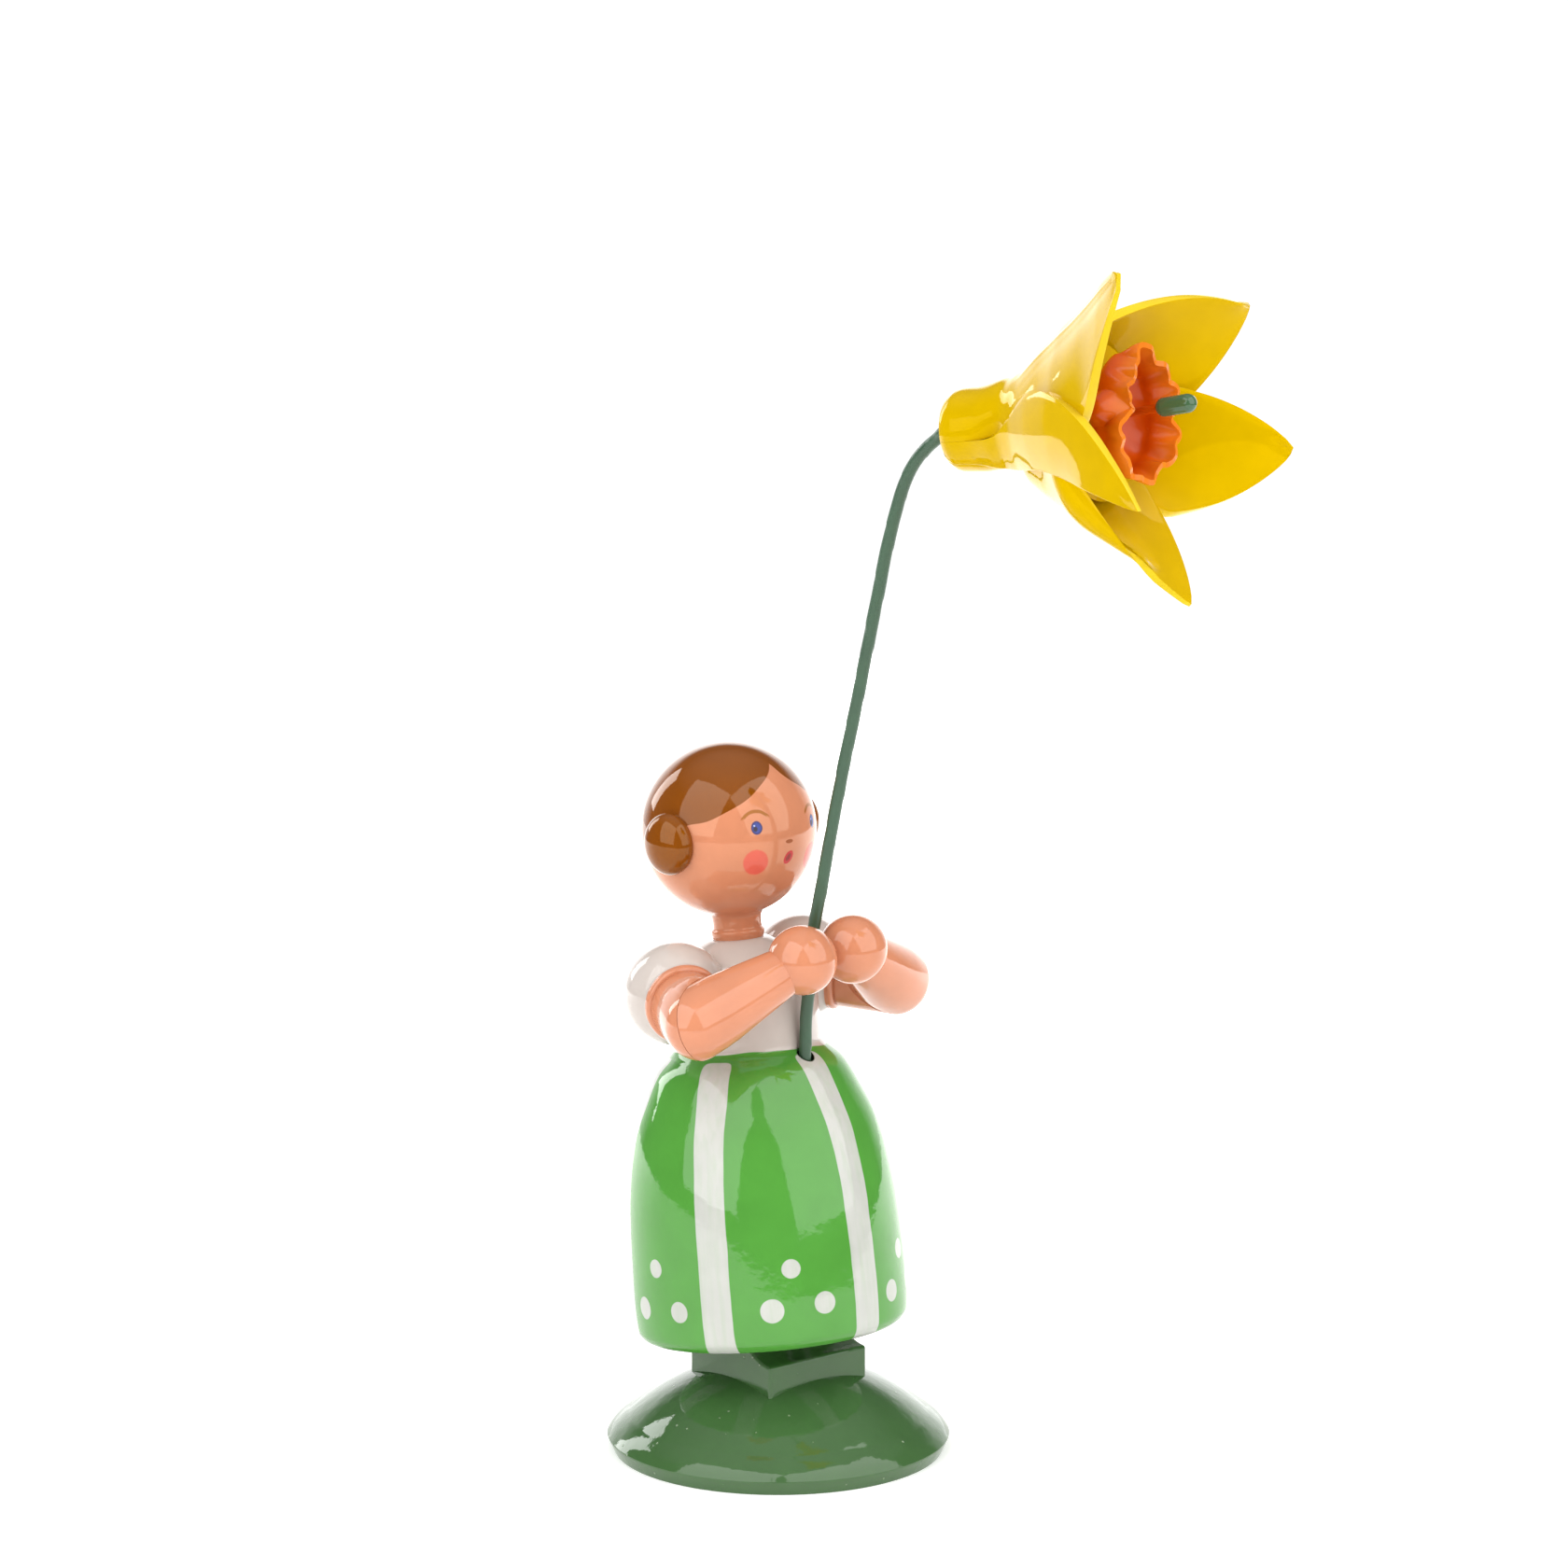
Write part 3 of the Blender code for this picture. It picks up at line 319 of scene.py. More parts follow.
def body_paint(tree, mm):
    """White torso and green skirt with six white stripes and dots, all put on by hand."""
    drawn = wobble(tree, mm, 0.1, 3.5)
    angle, height = turn_angle(tree, drawn)
    over_top = node(tree, "Math", {0: height, 1: STRIPE_TOP}, operation='SUBTRACT')
    marks = node(tree, "Math", {0: striped(tree, drawn), 1: over_top, 2: STRIPE_TOP_ROUND},
                 operation='SMOOTH_MAX')
    marks = dotted(tree, wobble(tree, mm, 0.04, 1.2), marks)
    brushed = node(tree, "VectorMath", {0: mm, 1: BRISTLES_PER_MM}, operation='MULTIPLY')
    streak = node(tree, "TexNoise", {"Vector": brushed, "Scale": 1.0, "Detail": 3.0})
    thin = node(tree, "MapRange", {0: streak, 1: 0.42, 2: 0.7, 3: 0.0, 4: 0.2})
    line = line_round(tree, angle, WAIST_LINE_LOW, WAIST_LINE_HIGH, WAIST_LINE)
    under_line = node(tree, "Math", {0: line, 1: height}, operation='SUBTRACT')
    # The bore's dark coat is painted shade in the stem's hole, with stained glue on its rim
    return coats(tree, SKIRT_GREEN, [
        (coats(tree, WHITE, [(WORN_WHITE, thin)]), below(tree, marks, 0.0, 0.05)),
        (WARM_WHITE, below(tree, under_line, 0.0, 0.06)),
        (BORE_SHADE_AND_GLUE, stem_bore(tree, mm))])


# Face marks as angle and elevation on the head's ball, in degrees
EYES = ((25.3, 5.2), (-27.5, 2.6))
CHEEKS = ((27.2, -17.6), (-26.1, -19.6))
CHEEK_RADIUS, BROW_RADIUS, BROW_HALF_WIDTH, BROW_FROM, BROW_FULL = 1.28, 1.62, 0.1, 0.48, 0.72
CHEEK_RED, BROW_BROWN = "#D25B4C", "#9A5A14"
# Daubs of an eye in the order they are put on: paint, offset, half width and height in mm, softness. The
# last, pale daub is a painted highlight, the eye's glint
EYE_DAUBS = (("#121C5C", (0.0, 0.0), 0.58, 0.67, 0.1), ("#1F3D92", (0.0, 0.0), 0.44, 0.52, 0.25),
             ("#0A1038", (1.0, -0.6), 0.22, 0.25, 0.2), ("#9FB2DC", (1.6, 1.5), 0.1, 0.09, 0.3))
# Nose and mouth: paint, place, half width and height in mm, tilt in degrees, softness
MIDDLE_DAUBS = (("#93440F", (1.3, -6.6), 0.48, 0.2, 0.0, 0.15),
                ("#BE1E2A", (1.3, -17.4), 0.5, 0.72, 38.0, 0.12),
                ("#8A0E16", (1.3, -17.4), 0.24, 0.42, 38.0, 0.3))
# Where hair meets skin, as angle and height, and the height above which only the parting's corner lies
HAIR_LINE = ((-180, -3.9), (-135, -3.0), (-105, -1.6), (-88, 0.2), (-75, 1.3), (-60, 1.7), (-50, 2.2),
             (-38.9, 2.9), (-27.9, 3.77), (-13.4, 5.16), (-7.4, 6.46), (5.1, 5.46), (14.1, 4.8),
             (29.3, 3.54), (45.3, 2.52), (59.4, 1.77), (70, 1.57), (80, 1.2), (92, 0.0), (105, -1.6),
             (135, -3.0), (180, -3.9))
PARTING = 6.0


def brush_mark(tree, mm, mark, wide, high, tilt=0.0):
    """A mark of these half sizes in mm on the ball: coordinates in its own radii, and their length."""
    turned = (0.0, math.radians(tilt), -math.radians(mark[0]))
    place = node(tree, "Mapping", {"Vector": mm, "Location": outward(*mark) * HEAD_RADIUS,
                                   "Rotation": turned, "Scale": (wide, 2.0, high)}, vector_type='TEXTURE')
    return place, node(tree, "VectorMath", {0: place}, "Value", operation='LENGTH')


def daub(tree, mm, mark, wide, high, tilt, soft):
    """A round touch of the brush."""
    return below(tree, brush_mark(tree, mm, mark, wide, high, tilt)[1], 1.0, soft)


def brow(tree, mm, eye):
    """The top of a thin ring round an eye."""
    place, reach = brush_mark(tree, mm, eye, BROW_RADIUS, BROW_RADIUS)
    off = node(tree, "Math", {0: reach, 1: 1.0}, operation='SUBTRACT')
    off = node(tree, "Math", {0: off}, operation='ABSOLUTE')
    top = node(tree, "MapRange", {0: node(tree, "SeparateXYZ", {0: place}, 2), 1: BROW_FROM, 2: BROW_FULL},
               interpolation_type='SMOOTHSTEP')
    return node(tree, "Math", {0: below(tree, off, BROW_HALF_WIDTH, 0.04), 1: top}, operation='MULTIPLY')


def head_paint(tree, mm):
    """Skin-coloured ball with a brown cap of hair parted at the front, and a small painted face."""
    angle, height = turn_angle(tree, wobble(tree, mm, 0.07, 3.0))
    line = line_round(tree, angle, -HEAD_RADIUS, HEAD_RADIUS, HAIR_LINE, PARTING)
    under_line = node(tree, "Math", {0: line, 1: height}, operation='SUBTRACT')
    steady = wobble(tree, mm, 0.04, 0.8)
    layers = [(CHEEK_RED, daub(tree, steady, cheek, CHEEK_RADIUS, CHEEK_RADIUS, 0.0, 0.1))
              for cheek in CHEEKS]
    for eye in EYES:
        layers.append((BROW_BROWN, brow(tree, steady, eye)))
        # The last daub of each eye is a painted highlight, a glint
        for paint, offset, wide, high, soft in EYE_DAUBS:
            mark = (eye[0] + offset[0], eye[1] + offset[1])
            layers.append((paint, daub(tree, steady, mark, wide, high, 0.0, soft)))
    for paint, mark, wide, high, tilt, soft in MIDDLE_DAUBS:
        layers.append((paint, daub(tree, steady, mark, wide, high, tilt, soft)))
    layers.append((HAIR, below(tree, under_line, 0.0, 0.05)))
    return coats(tree, SKIN, layers)


def sleeve_paint(tree, mm):
    """White sleeve up to the mouth of its cuff, skin colour beyond."""
    height = node(tree, "SeparateXYZ", {0: wobble(tree, mm, 0.05, 2.0)}, 2)
    return coats(tree, SKIN, [(WARM_WHITE, below(tree, height, SLEEVE_MOUTH + 0.1, 0.05))])


def cup_paint_and_shade(tree, mm):
    """Orange that darkens and reddens towards the throat of the cup, as painted shade deep in it."""
    depth = node(tree, "SeparateXYZ", {0: mm}, 2)
    rise = node(tree, "MapRange", {0: depth, 1: CORONA_BACK + 2.6, 2: CORONA_BACK + CORONA_DEPTH + 0.4},
                interpolation_type='SMOOTHSTEP')
    # The deep red towards the throat is painted shade
    return coats(tree, "#C94C00", [("#E67C1A", rise)])


def pistil_paint(tree, mm):
    """Olive bead on a wire that is painted orange with the cup."""
    height = node(tree, "SeparateXYZ", {0: mm}, 2)
    wire = below(tree, height, PISTIL_REACH - PISTIL_LENGTH + 0.15, 0.05)
    return coats(tree, "#456646", [("#C24C05", wire)])


# Making

def arc(centre_r, centre_z, radius_r, radius_z, start, end, count):
    """Points of an elliptical arc in the profile plane, angles in degrees from +r."""
    turns = [math.radians(start + (end - start) * i / count) for i in range(count + 1)]
    return [(centre_r + radius_r * math.cos(a), centre_z + radius_z * math.sin(a)) for a in turns]


def smooth_path(points, spans):
    """A Catmull-Rom curve through the points, with the given number of pieces between two."""
    padded = [points[0]] + list(points) + [points[-1]]
    path = []
    for i in range(1, len(padded) - 2):
        near = list(zip(*padded[i - 1:i + 3]))
        for step in range(spans):
            t = step / spans
            path.append(tuple(0.5 * (2 * b + (c - a) * t + (2 * a - 5 * b + 4 * c - d) * t * t
                                     + (3 * b - a - 3 * c + d) * t ** 3) for a, b, c, d in near))
    return path + [tuple(points[-1])]


def blend(low, high, value):
    """0 below low, 1 above high and a smooth rise between them."""
    t = min(1.0, max(0.0, (value - low) / (high - low)))
    return t * t * (3 - 2 * t)


def bridge(shape, upper, lower, steps):
    """A band of faces between two rings, either of which may be one point on the axis."""
    for k in range(steps):
        j = (k + 1) % steps
        corners = (upper[k % len(upper)], upper[j % len(upper)],
                   lower[j % len(lower)], lower[k % len(lower)])
        shape.faces.new(list(dict.fromkeys(corners)))


def lathe(profile, steps):
    """A turned shape: the profile (r, z) runs from the top of the axis to its bottom."""
    shape = bmesh.new()
    turns = [2 * math.pi * k / steps for k in range(steps)]
    rings = []
    for r, z in profile:
        if r < 0.001:
            rings.append([shape.verts.new((0.0, 0.0, z))])
        else:
            rings.append([shape.verts.new((r * math.sin(t), -r * math.cos(t), z)) for t in turns])
    for upper, lower in zip(rings, rings[1:]):
        bridge(shape, upper, lower, steps)
    return shape


def add(name, data, place):
    """Put a mesh, a light or a camera into the scene."""
    obj = bpy.data.objects.new(name, data)
    bpy.context.scene.collection.objects.link(obj)
    obj.matrix_world = place
    return obj


def modify(obj, name, kind, **settings):
    """Give an object a modifier with its settings."""
    made = obj.modifiers.new(name, kind)
    for key, value in settings.items():
        setattr(made, key, value)


def new_object(name, shape, place, finishes=(), closed=True):
    """An object from a shape in mm. An open shape keeps the side that its faces were made for."""
    mesh = bpy.data.meshes.new(name)
    if closed:
        bmesh.ops.recalc_face_normals(shape, faces=shape.faces[:])
    bmesh.ops.scale(shape, vec=(MM, MM, MM), verts=shape.verts[:])
    for face in shape.faces:
        face.smooth = True
    shape.to_mesh(mesh)
    shape.free()
    for finish in finishes:
        mesh.materials.append(finish)
    return add(name, mesh, place)


def fit(obj, node_name, crease=50.0):
    """Make a piece final: its modifiers applied, its own mm coordinates kept, and the mesh set in place."""
    bpy.context.view_layer.update()
    graph = bpy.context.evaluated_depsgraph_get()
    mesh = bpy.data.meshes.new_from_object(obj.evaluated_get(graph))
    own = mesh.attributes.new("own", 'FLOAT_VECTOR', 'POINT')
    own.data.foreach_set("vector", [c / MM for vert in mesh.vertices for c in vert.co])
    mesh.transform(obj.matrix_world)
    mesh.set_sharp_from_angle(angle=math.radians(crease))
    obj.modifiers.clear()
    obj.data = mesh
    obj.matrix_world = Matrix.Identity(4)
    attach(obj, "root")
    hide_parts(node_name)


def piece(name, shape, place, finish, node_name, cutters=()):
    """A finished piece of the figure in place of its CAD node, less what the cutters take away."""
    obj = new_object(name, shape, place, [finish])
    for cutter in cutters:
        modify(obj, "cut", 'BOOLEAN', operation='DIFFERENCE', solver='EXACT', object=cutter)
    fit(obj, node_name)
    for cutter in cutters:
        bpy.data.objects.remove(cutter)


def rod(radius, low, high, place):
    """A plain rod, to bore a hole with."""
    profile = [(0.0, high), (radius, high), (radius, low), (0.0, low)]
    return new_object("bore", lathe(profile, 48), place)


DOME_RISE = BASE_HEIGHT - BASE_RIM_HEIGHT
DOME_SPHERE = (BASE_RADIUS ** 2 + DOME_RISE ** 2) / (2 * DOME_RISE)
DOME_CENTRE = BASE_HEIGHT - DOME_SPHERE
DOME_EDGE_RADIUS = 14.9
# The rim as the paint has softened it, from the dome's edge down to the foot, as radius and height
BASE_RIM = ((15.6, 2.98), (16.4, 2.28), (16.92, 1.58), (BASE_RADIUS, BASE_RIM_HEIGHT), (16.9, 1.1),
            (16.55, 0.3), (BASE_FOOT_RADIUS, 0.0))
DOWEL_DEPTH = (BODY_FOOT_HEIGHT - DOWEL_FLOOR) / math.cos(LEAN)


def make_base(finish):
    """Domed round base with a low undercut rim, its crease and foot softened by the paint."""
    fall = math.degrees(math.acos(DOME_EDGE_RADIUS / DOME_SPHERE))
    dome = arc(0.0, DOME_CENTRE, DOME_SPHERE, DOME_SPHERE, 90.0, fall, 60)
    spans = 5
    rim = smooth_path([dome[-2], dome[-1], *BASE_RIM], spans)
    profile = dome[:-1] + rim[spans:] + [(16.0, 0.0), (12.0, 0.0), (0.0, 0.0)]
    bore = rod(DOWEL_BORE_RADIUS, -DOWEL_DEPTH - 0.1, 1.0, BODY)
    piece("domed_base", lathe(profile, 200), WORLD, finish, "base_disc", [bore])


INSTEP_HOLLOW, BLOCK_EDGE_ROUND, BLOCK_FOOT = 0.12, 0.28, 1.0
SKIRT_GAP, DOME_SINK = 0.05, 0.01


def make_shoe_block(finish):
    """Square block with a sloped, slightly hollow instep; paint has rounded its edges."""
    half = BLOCK_WIDTH / 2
    dome_there = DOME_CENTRE + math.sqrt(DOME_SPHERE ** 2 - math.hypot(half, half) ** 2)
    toe_top = dome_there + TOE_HEIGHT
    lean, slope = math.tan(LEAN), math.tan(INSTEP_SLOPE)
    top = BODY_FOOT_HEIGHT - SKIRT_GAP + BODY_OFFSET * lean
    run = (top + lean * half - toe_top) / (slope + lean)
    ramp = [(half - run * k, toe_top + run * k * slope - INSTEP_HOLLOW * run * math.sin(math.pi * k))
            for k in (0.0, 0.15, 0.3, 0.45, 0.6, 0.75, 0.9, 1.0)]
    outline = [(half, BLOCK_FOOT)] + ramp + [(-half, top - lean * half), (-half, BLOCK_FOOT)]
    shape = bmesh.new()
    side = shape.faces.new([shape.verts.new((-half, -forward, height)) for forward, height in outline])
    moved = bmesh.ops.extrude_face_region(shape, geom=[side])["geom"]
    far_side = [part for part in moved if isinstance(part, bmesh.types.BMVert)]
    bmesh.ops.translate(shape, verts=far_side, vec=(BLOCK_WIDTH, 0, 0))
    bmesh.ops.recalc_face_normals(shape, faces=shape.faces[:])
    sharp = [e for e in shape.edges if e.calc_face_angle(0.0) > math.radians(25)]
    bmesh.ops.bevel(shape, geom=sharp, offset=BLOCK_EDGE_ROUND, offset_type='OFFSET', segments=4,
                    profile=0.5, affect='EDGES', clamp_overlap=True)
    under = arc(0.0, DOME_CENTRE, DOME_SPHERE - DOME_SINK, DOME_SPHERE - DOME_SINK, 90.0, -90.0, 80)
    seat = new_object("seat", lathe(under, 160), WORLD)
    bore = rod(DOWEL_BORE_RADIUS, -DOWEL_DEPTH, DOWEL_IN_BODY, BODY)
    piece("shoe_and_instep", shape, Matrix.Rotation(BLOCK_TURN, 4, 'Z'), finish,
          "shoe_block", [seat, bore])


# The cove between torso and skirt, as radius and height
WAIST_COVE = ((TORSO_RADIUS, 30.0), (TORSO_RADIUS, 28.7), (7.45, 28.35), (7.72, 28.03),
              (WAIST_RADIUS, WAIST_HEIGHT))


def make_body(finish):
    """Torso and bell skirt turned from one piece, bored for the dowel and for the stem."""
    top = math.degrees(math.asin(SHOULDER_DROP / SHOULDER_ROUND))
    shoulders = arc(0.0, BODY_HEIGHT - SHOULDER_DROP, TORSO_RADIUS, SHOULDER_ROUND, top, 0.0, 24)
    cove = smooth_path(WAIST_COVE, 4)
    ceiling = DOWEL_IN_BODY + 0.1
    bore = [(8.0, 0.0), (DOWEL_BORE_RADIUS, 0.0), (DOWEL_BORE_RADIUS, ceiling), (0.0, ceiling)]
    profile = [(0.0, BODY_HEIGHT)] + shoulders + cove[:-1] + skirt_profile() + bore
    drill = rod(STEM_HOLE_RADIUS, -0.1, 8.7, BODY @ aimed(STEM_FOOT, STEM_AT_WAIST - STEM_FOOT))
    piece("torso_and_skirt", lathe(profile, 256), BODY, finish, "turned_body", [drill])


# The neck from under the ball to the ring at its foot, as radius and height
NECK = ((2.76, -8.25), (2.5, -8.55), (2.42, -8.9), (NECK_RADIUS, -9.4), (2.42, -9.78), (2.56, -9.95),
        (2.63, -10.15), (NECK_RING_RADIUS, -10.45), (2.5, -10.79))


def make_head(finish):
    """Ball and neck turned in one piece, with a small ring where the neck meets the torso."""
    ball = arc(0.0, 0.0, HEAD_RADIUS, HEAD_RADIUS, 90.0, -68.0, 90)
    neck = smooth_path([ball[-1], *NECK], 4)
    profile = ball + neck[1:] + [(0.0, NECK[-1][1])]
    piece("head_and_neck", lathe(profile, 200), HEAD, finish, "head")


def on_side(point, side):
    """A point given for the side of +X, on that side or mirrored to the other."""
    return Vector((side * point[0], point[1], point[2]))


def make_bun(side_name, side, finish):
    """A flattened bead glued to the side of the head."""
    shape = bmesh.new()
    bmesh.ops.create_uvsphere(shape, u_segments=64, v_segments=40, radius=1.0)
    centre = on_side(BUN_PLACE, side)
    glued = HEAD_RADIUS - 0.02
    for vert in shape.verts:
        vert.co = Vector([c * h for c, h in zip(vert.co, BUN_HALF_SIZE)]) + centre
        if vert.co.length < glued:
            vert.co = vert.co.normalized() * glued
        vert.co -= centre
    piece("bun_bead_" + side_name, shape, HEAD @ shift(centre), finish,
          "hair_bun_" + side_name)


MITRE_GAP = 0.03
# The step where the arm enters its cuff: radius inside the arm's own, and height above the floor
CUFF_STEP = ((0.0, 0.3), (0.04, 0.2), (0.15, 0.08), (0.15, 0.0))


def arm_points(side):
    """Shoulder, elbow and hand of one side, and the direction across the mitre at the elbow."""
    shoulder, elbow, hand = (on_side(point, side) for point in (SHOULDER, ELBOW, HAND))
    across = ((elbow - shoulder).normalized() + (hand - elbow).normalized()).normalized()
    return shoulder, elbow, hand, across


def elbow_end():
    """The rounded end that both pieces of an arm have before they are mitred."""
    return arc(0.0, -ELBOW_SET, ARM_RADIUS, ELBOW_ROUND, 0.0, -90.0, 24)


def mitre(shape, place, elbow, away):
    """Cut a shape off flat just short of the elbow, which is given from the place's own origin."""
    turned_in = place.to_3x3().inverted()
    everything = shape.verts[:] + shape.edges[:] + shape.faces[:]
    bmesh.ops.bisect_plane(shape, geom=everything, plane_co=turned_in @ (elbow - away * MITRE_GAP),
                           plane_no=turned_in @ away, clear_outer=True)
    bmesh.ops.holes_fill(shape, edges=[e for e in shape.edges if e.is_boundary])


def make_sleeve(side_name, side, finish):
    """Sleeve ball with a beaded cuff, and the upper arm in it down to the elbow."""
    shoulder, elbow, _, across = arm_points(side)
    upper = elbow - shoulder
    reach = [(r, upper.length - z) for r, z in reversed(elbow_end())]
    floor = SLEEVE_MOUTH + 2 * CUFF_BEAD
    step = [(ARM_RADIUS - inside, floor + height) for inside, height in CUFF_STEP]
    bead = arc(CUFF_RADIUS - CUFF_BEAD, SLEEVE_MOUTH + CUFF_BEAD, CUFF_BEAD, CUFF_BEAD, 88.0, -20.0, 12)
    start = math.degrees(math.asin(SLEEVE_MOUTH / SLEEVE_RADIUS))
    ball = arc(0.0, 0.0, SLEEVE_RADIUS, SLEEVE_RADIUS, start, -90.0, 60)
    shape = lathe(reach + step + bead + ball, 128)
    place = aimed(shoulder, upper)
    mitre(shape, place, upper, across)
    piece("sleeve_and_arm_" + side_name, shape, BODY @ place, finish,
          "upper_arm_" + side_name)


def make_forearm(side_name, side, finish):
    """Tapered forearm with a ball for a hand."""
    _, elbow, hand, across = arm_points(side)
    lower = hand - elbow
    wrist = math.degrees(math.acos(WRIST_RADIUS / HAND_RADIUS))
    ball = arc(0.0, lower.length, HAND_RADIUS, HAND_RADIUS, 90.0, -wrist, 48)
    under_ball = ball[-1][1]
    cove = [(WRIST_RADIUS + 0.02, under_ball - 0.12), (WRIST_RADIUS + 0.07, under_ball - 0.3)]
    taper = [(FOREARM_RADIUS, 2.5), (FOREARM_RADIUS + 0.11, 0.9)]
    shape = lathe(ball + cove + taper + elbow_end(), 128)
    place = aimed(elbow, lower)
    mitre(shape, place, Vector((0.0, 0.0, 0.0)), -across)
    piece("forearm_and_hand_" + side_name, shape, BODY @ place, finish,
          "forearm_" + side_name)


STEM_OVER_WAIST = Vector((0.0, -8.5, 31.1))
HALF_HAND_GAP, STEM_HAND_GAP = 0.15, 0.3
# The stem forward and up from where it passes the hands in mm, then in shares of the way to the bloom
STEM_BY_HANDS = ((0.12, -2.0), (0.35, 1.5))
STEM_RISE = ((0.062, 0.092), (0.152, 0.233), (0.239, 0.361), (0.322, 0.474), (0.399, 0.584), (0.471, 0.687),
             (0.527, 0.768), (0.584, 0.832), (0.635, 0.883), (0.697, 0.923), (0.779, 0.957), (0.866, 0.981))
TAPE_PITCH, TAPE_STEP, TAPE_LUMPS, TAPE_SINK = 5.2, 0.055, 0.03, 0.03


def stem_path():
    """The wire's route in mm: out of the skirt, behind the hands, and up to the bloom."""
    body = BODY.copy()
    body.translation /= MM
    hand = Vector((HAND_RADIUS + HALF_HAND_GAP, HAND.y, HAND.z))
    behind = math.sqrt((HAND_RADIUS + STEM_RADIUS + STEM_HAND_GAP) ** 2 - hand.x ** 2)
    hands = body @ hand + Vector((-hand.x, behind, 0.0))
    way = BLOOM_REAR - hands
    foot = [body @ point for point in (STEM_FOOT, STEM_AT_WAIST, STEM_OVER_WAIST)]
    grip = [hands + Vector((0.0, -forward, up)) for forward, up in STEM_BY_HANDS]
    rise = [hands + Vector((0.0, way.y * forward, way.z * up)) for forward, up in STEM_RISE]
    axis = (BLOOM.to_3x3() @ Vector((0.0, 0.0, 1.0))).normalized()
    end = [BLOOM_REAR - axis * 0.9, BLOOM_REAR + axis * 4.9]
    return [Vector(p) for p in smooth_path([tuple(p) for p in foot + grip + rise + end], 24)]


def make_stem(finish):
    """Wire wound with tape, whose overlapping edge leaves a low step that climbs round it."""
    path = stem_path()
    shape = bmesh.new()
    steps, along, rings = 28, 0.0, []
    side = Vector((1.0, 0.0, 0.0))
    for i, spot in enumerate(path):
        before, after = path[max(i - 1, 0)], path[min(i + 1, len(path) - 1)]
        along += (spot - before).length
        front = (after - before).normalized().cross(side)
        ring = []
        for k in range(steps):
            turn = 2 * math.pi * k / steps
            climb = (along / TAPE_PITCH + k / steps) % 1.0
            ridge = blend(0.0, 0.06, climb) * (1.0 - climb)
            lump = TAPE_LUMPS * noise.noise(Vector((math.cos(turn), math.sin(turn), along * 0.45)))
            radius = STEM_RADIUS - TAPE_SINK + TAPE_STEP * ridge + lump
            ring.append(shape.verts.new(spot + radius * (math.cos(turn) * side + math.sin(turn) * front)))
        rings.append(ring)
    for low, high in zip(rings, rings[1:]):
        bridge(shape, low, high, steps)
    shape.faces.new(rings[0])
    shape.faces.new(rings[-1])
    piece("taped_stem", shape, WORLD, finish, "stem_wire")


# Where a petal is widest, as a share of its length past the tube, if not at PETAL_SHOULDER
SHOULDERS = {"petal_right": 0.7}
# Low creases along a petal: place across it from -1 to 1, and height in mm
CREASES = {"petal_top_right": ((-0.12, 0.12), (0.42, 0.1))}
CREASE_WIDTH = 0.05
# The near half of petal_bottom is curled in under petal_right: its turn at the edge, the swell across it and
# the lip it draws in, each with the stretches along the axis in mm over which it grows or fades
CURL_TURN, CURL_GROWS, CURL_MORE, CURL_MORE_GROWS = math.radians(68.0), (TUBE_LENGTH, 10.0), 0.4, (11.0, 18.0)
SWELL, SWELL_GROWS, SWELL_LOSS, SWELL_FADES = 0.9, (7.5, 9.5), 0.8, (13.0, 18.0)
LIP, LIP_GROWS, CURL_FADES = 0.4, (11.0, 14.0), (15.5, 20.0)
# A petal's wall thins towards the tip, from this share of its length and by this share of its thickness
THIN_FROM, THIN_BY = 0.6, 0.6


def flare_radius(distance):
    """Radius of the bloom's outer surface, at a distance along its axis."""
    return TUBE_RADIUS * read_off(FLARE, distance / TUBE_LENGTH)


def foot_angles(index):
    """Angles of a petal's two edges on the tube, measured from the petal's own middle."""
    petal, last = PETALS[index], index + 1 == len(PETALS)
    following = PETALS[0].edge + 360 if last else PETALS[index + 1].edge
    low, high = (math.radians(edge - petal.middle) for edge in (petal.edge, following))
    half_gap = 0.5 * CLAW_GAP / TUBE_RADIUS
    return low + half_gap, high - half_gap


def petal_half_width(place, foot_width, widest, shoulder):
    """Half the width of one side of a petal, at a place from 0 at the tube to 1 at the tip."""
    rise = 1.0 - (1.0 - min(place / shoulder, 1.0)) ** 2
    return (foot_width + (widest - foot_width) * rise) * (1.0 - place ** 2.9) ** 0.85


def seam_turn(name, foot, turn, distance):
    """The seam between the petals right and top_right starts low on the tube and climbs along it."""
    low, high = foot
    drop = LOW_SEAM * (1.0 - blend(4.0, 14.0, distance))
    if name == "petal_right":
        return low + (turn - low) * (1.0 - drop / (high - low))
    if name == "petal_top_right":
        return high + (turn - high) * (1.0 + drop / (high - low))
    return turn


def petal_radius(distance, tip, tip_radius):
    """Radius of a petal's middle, which leaves the bloom's flare to reach its own tip."""
    bend_start = 0.8 * CORE_LENGTH
    bend = max(0.0, (distance - bend_start) / (tip - bend_start))
    return flare_radius(distance) + (tip_radius - flare_radius(tip)) * bend ** 2


def curled_in(out, sine, foot_edge, distance, side):
    """A point of petal_bottom's near half, rolled about the bloom's axis and let go towards the tip."""
    turn = foot_edge + (CURL_TURN - foot_edge) * blend(*CURL_GROWS, distance)
    turn += CURL_MORE * CURL_TURN * blend(*CURL_MORE_GROWS, distance)
    swell = SWELL * blend(*SWELL_GROWS, distance) * (1.0 - SWELL_LOSS * blend(*SWELL_FADES, distance))
    swollen = out + swell * math.sin(math.pi * side) - LIP * side ** 4 * blend(*LIP_GROWS, distance)
    curled = Vector((swollen * math.sin(side * turn), swollen * math.cos(side * turn), distance))
    return curled.lerp(Vector((out * sine, out, distance)), blend(*CURL_FADES, distance))


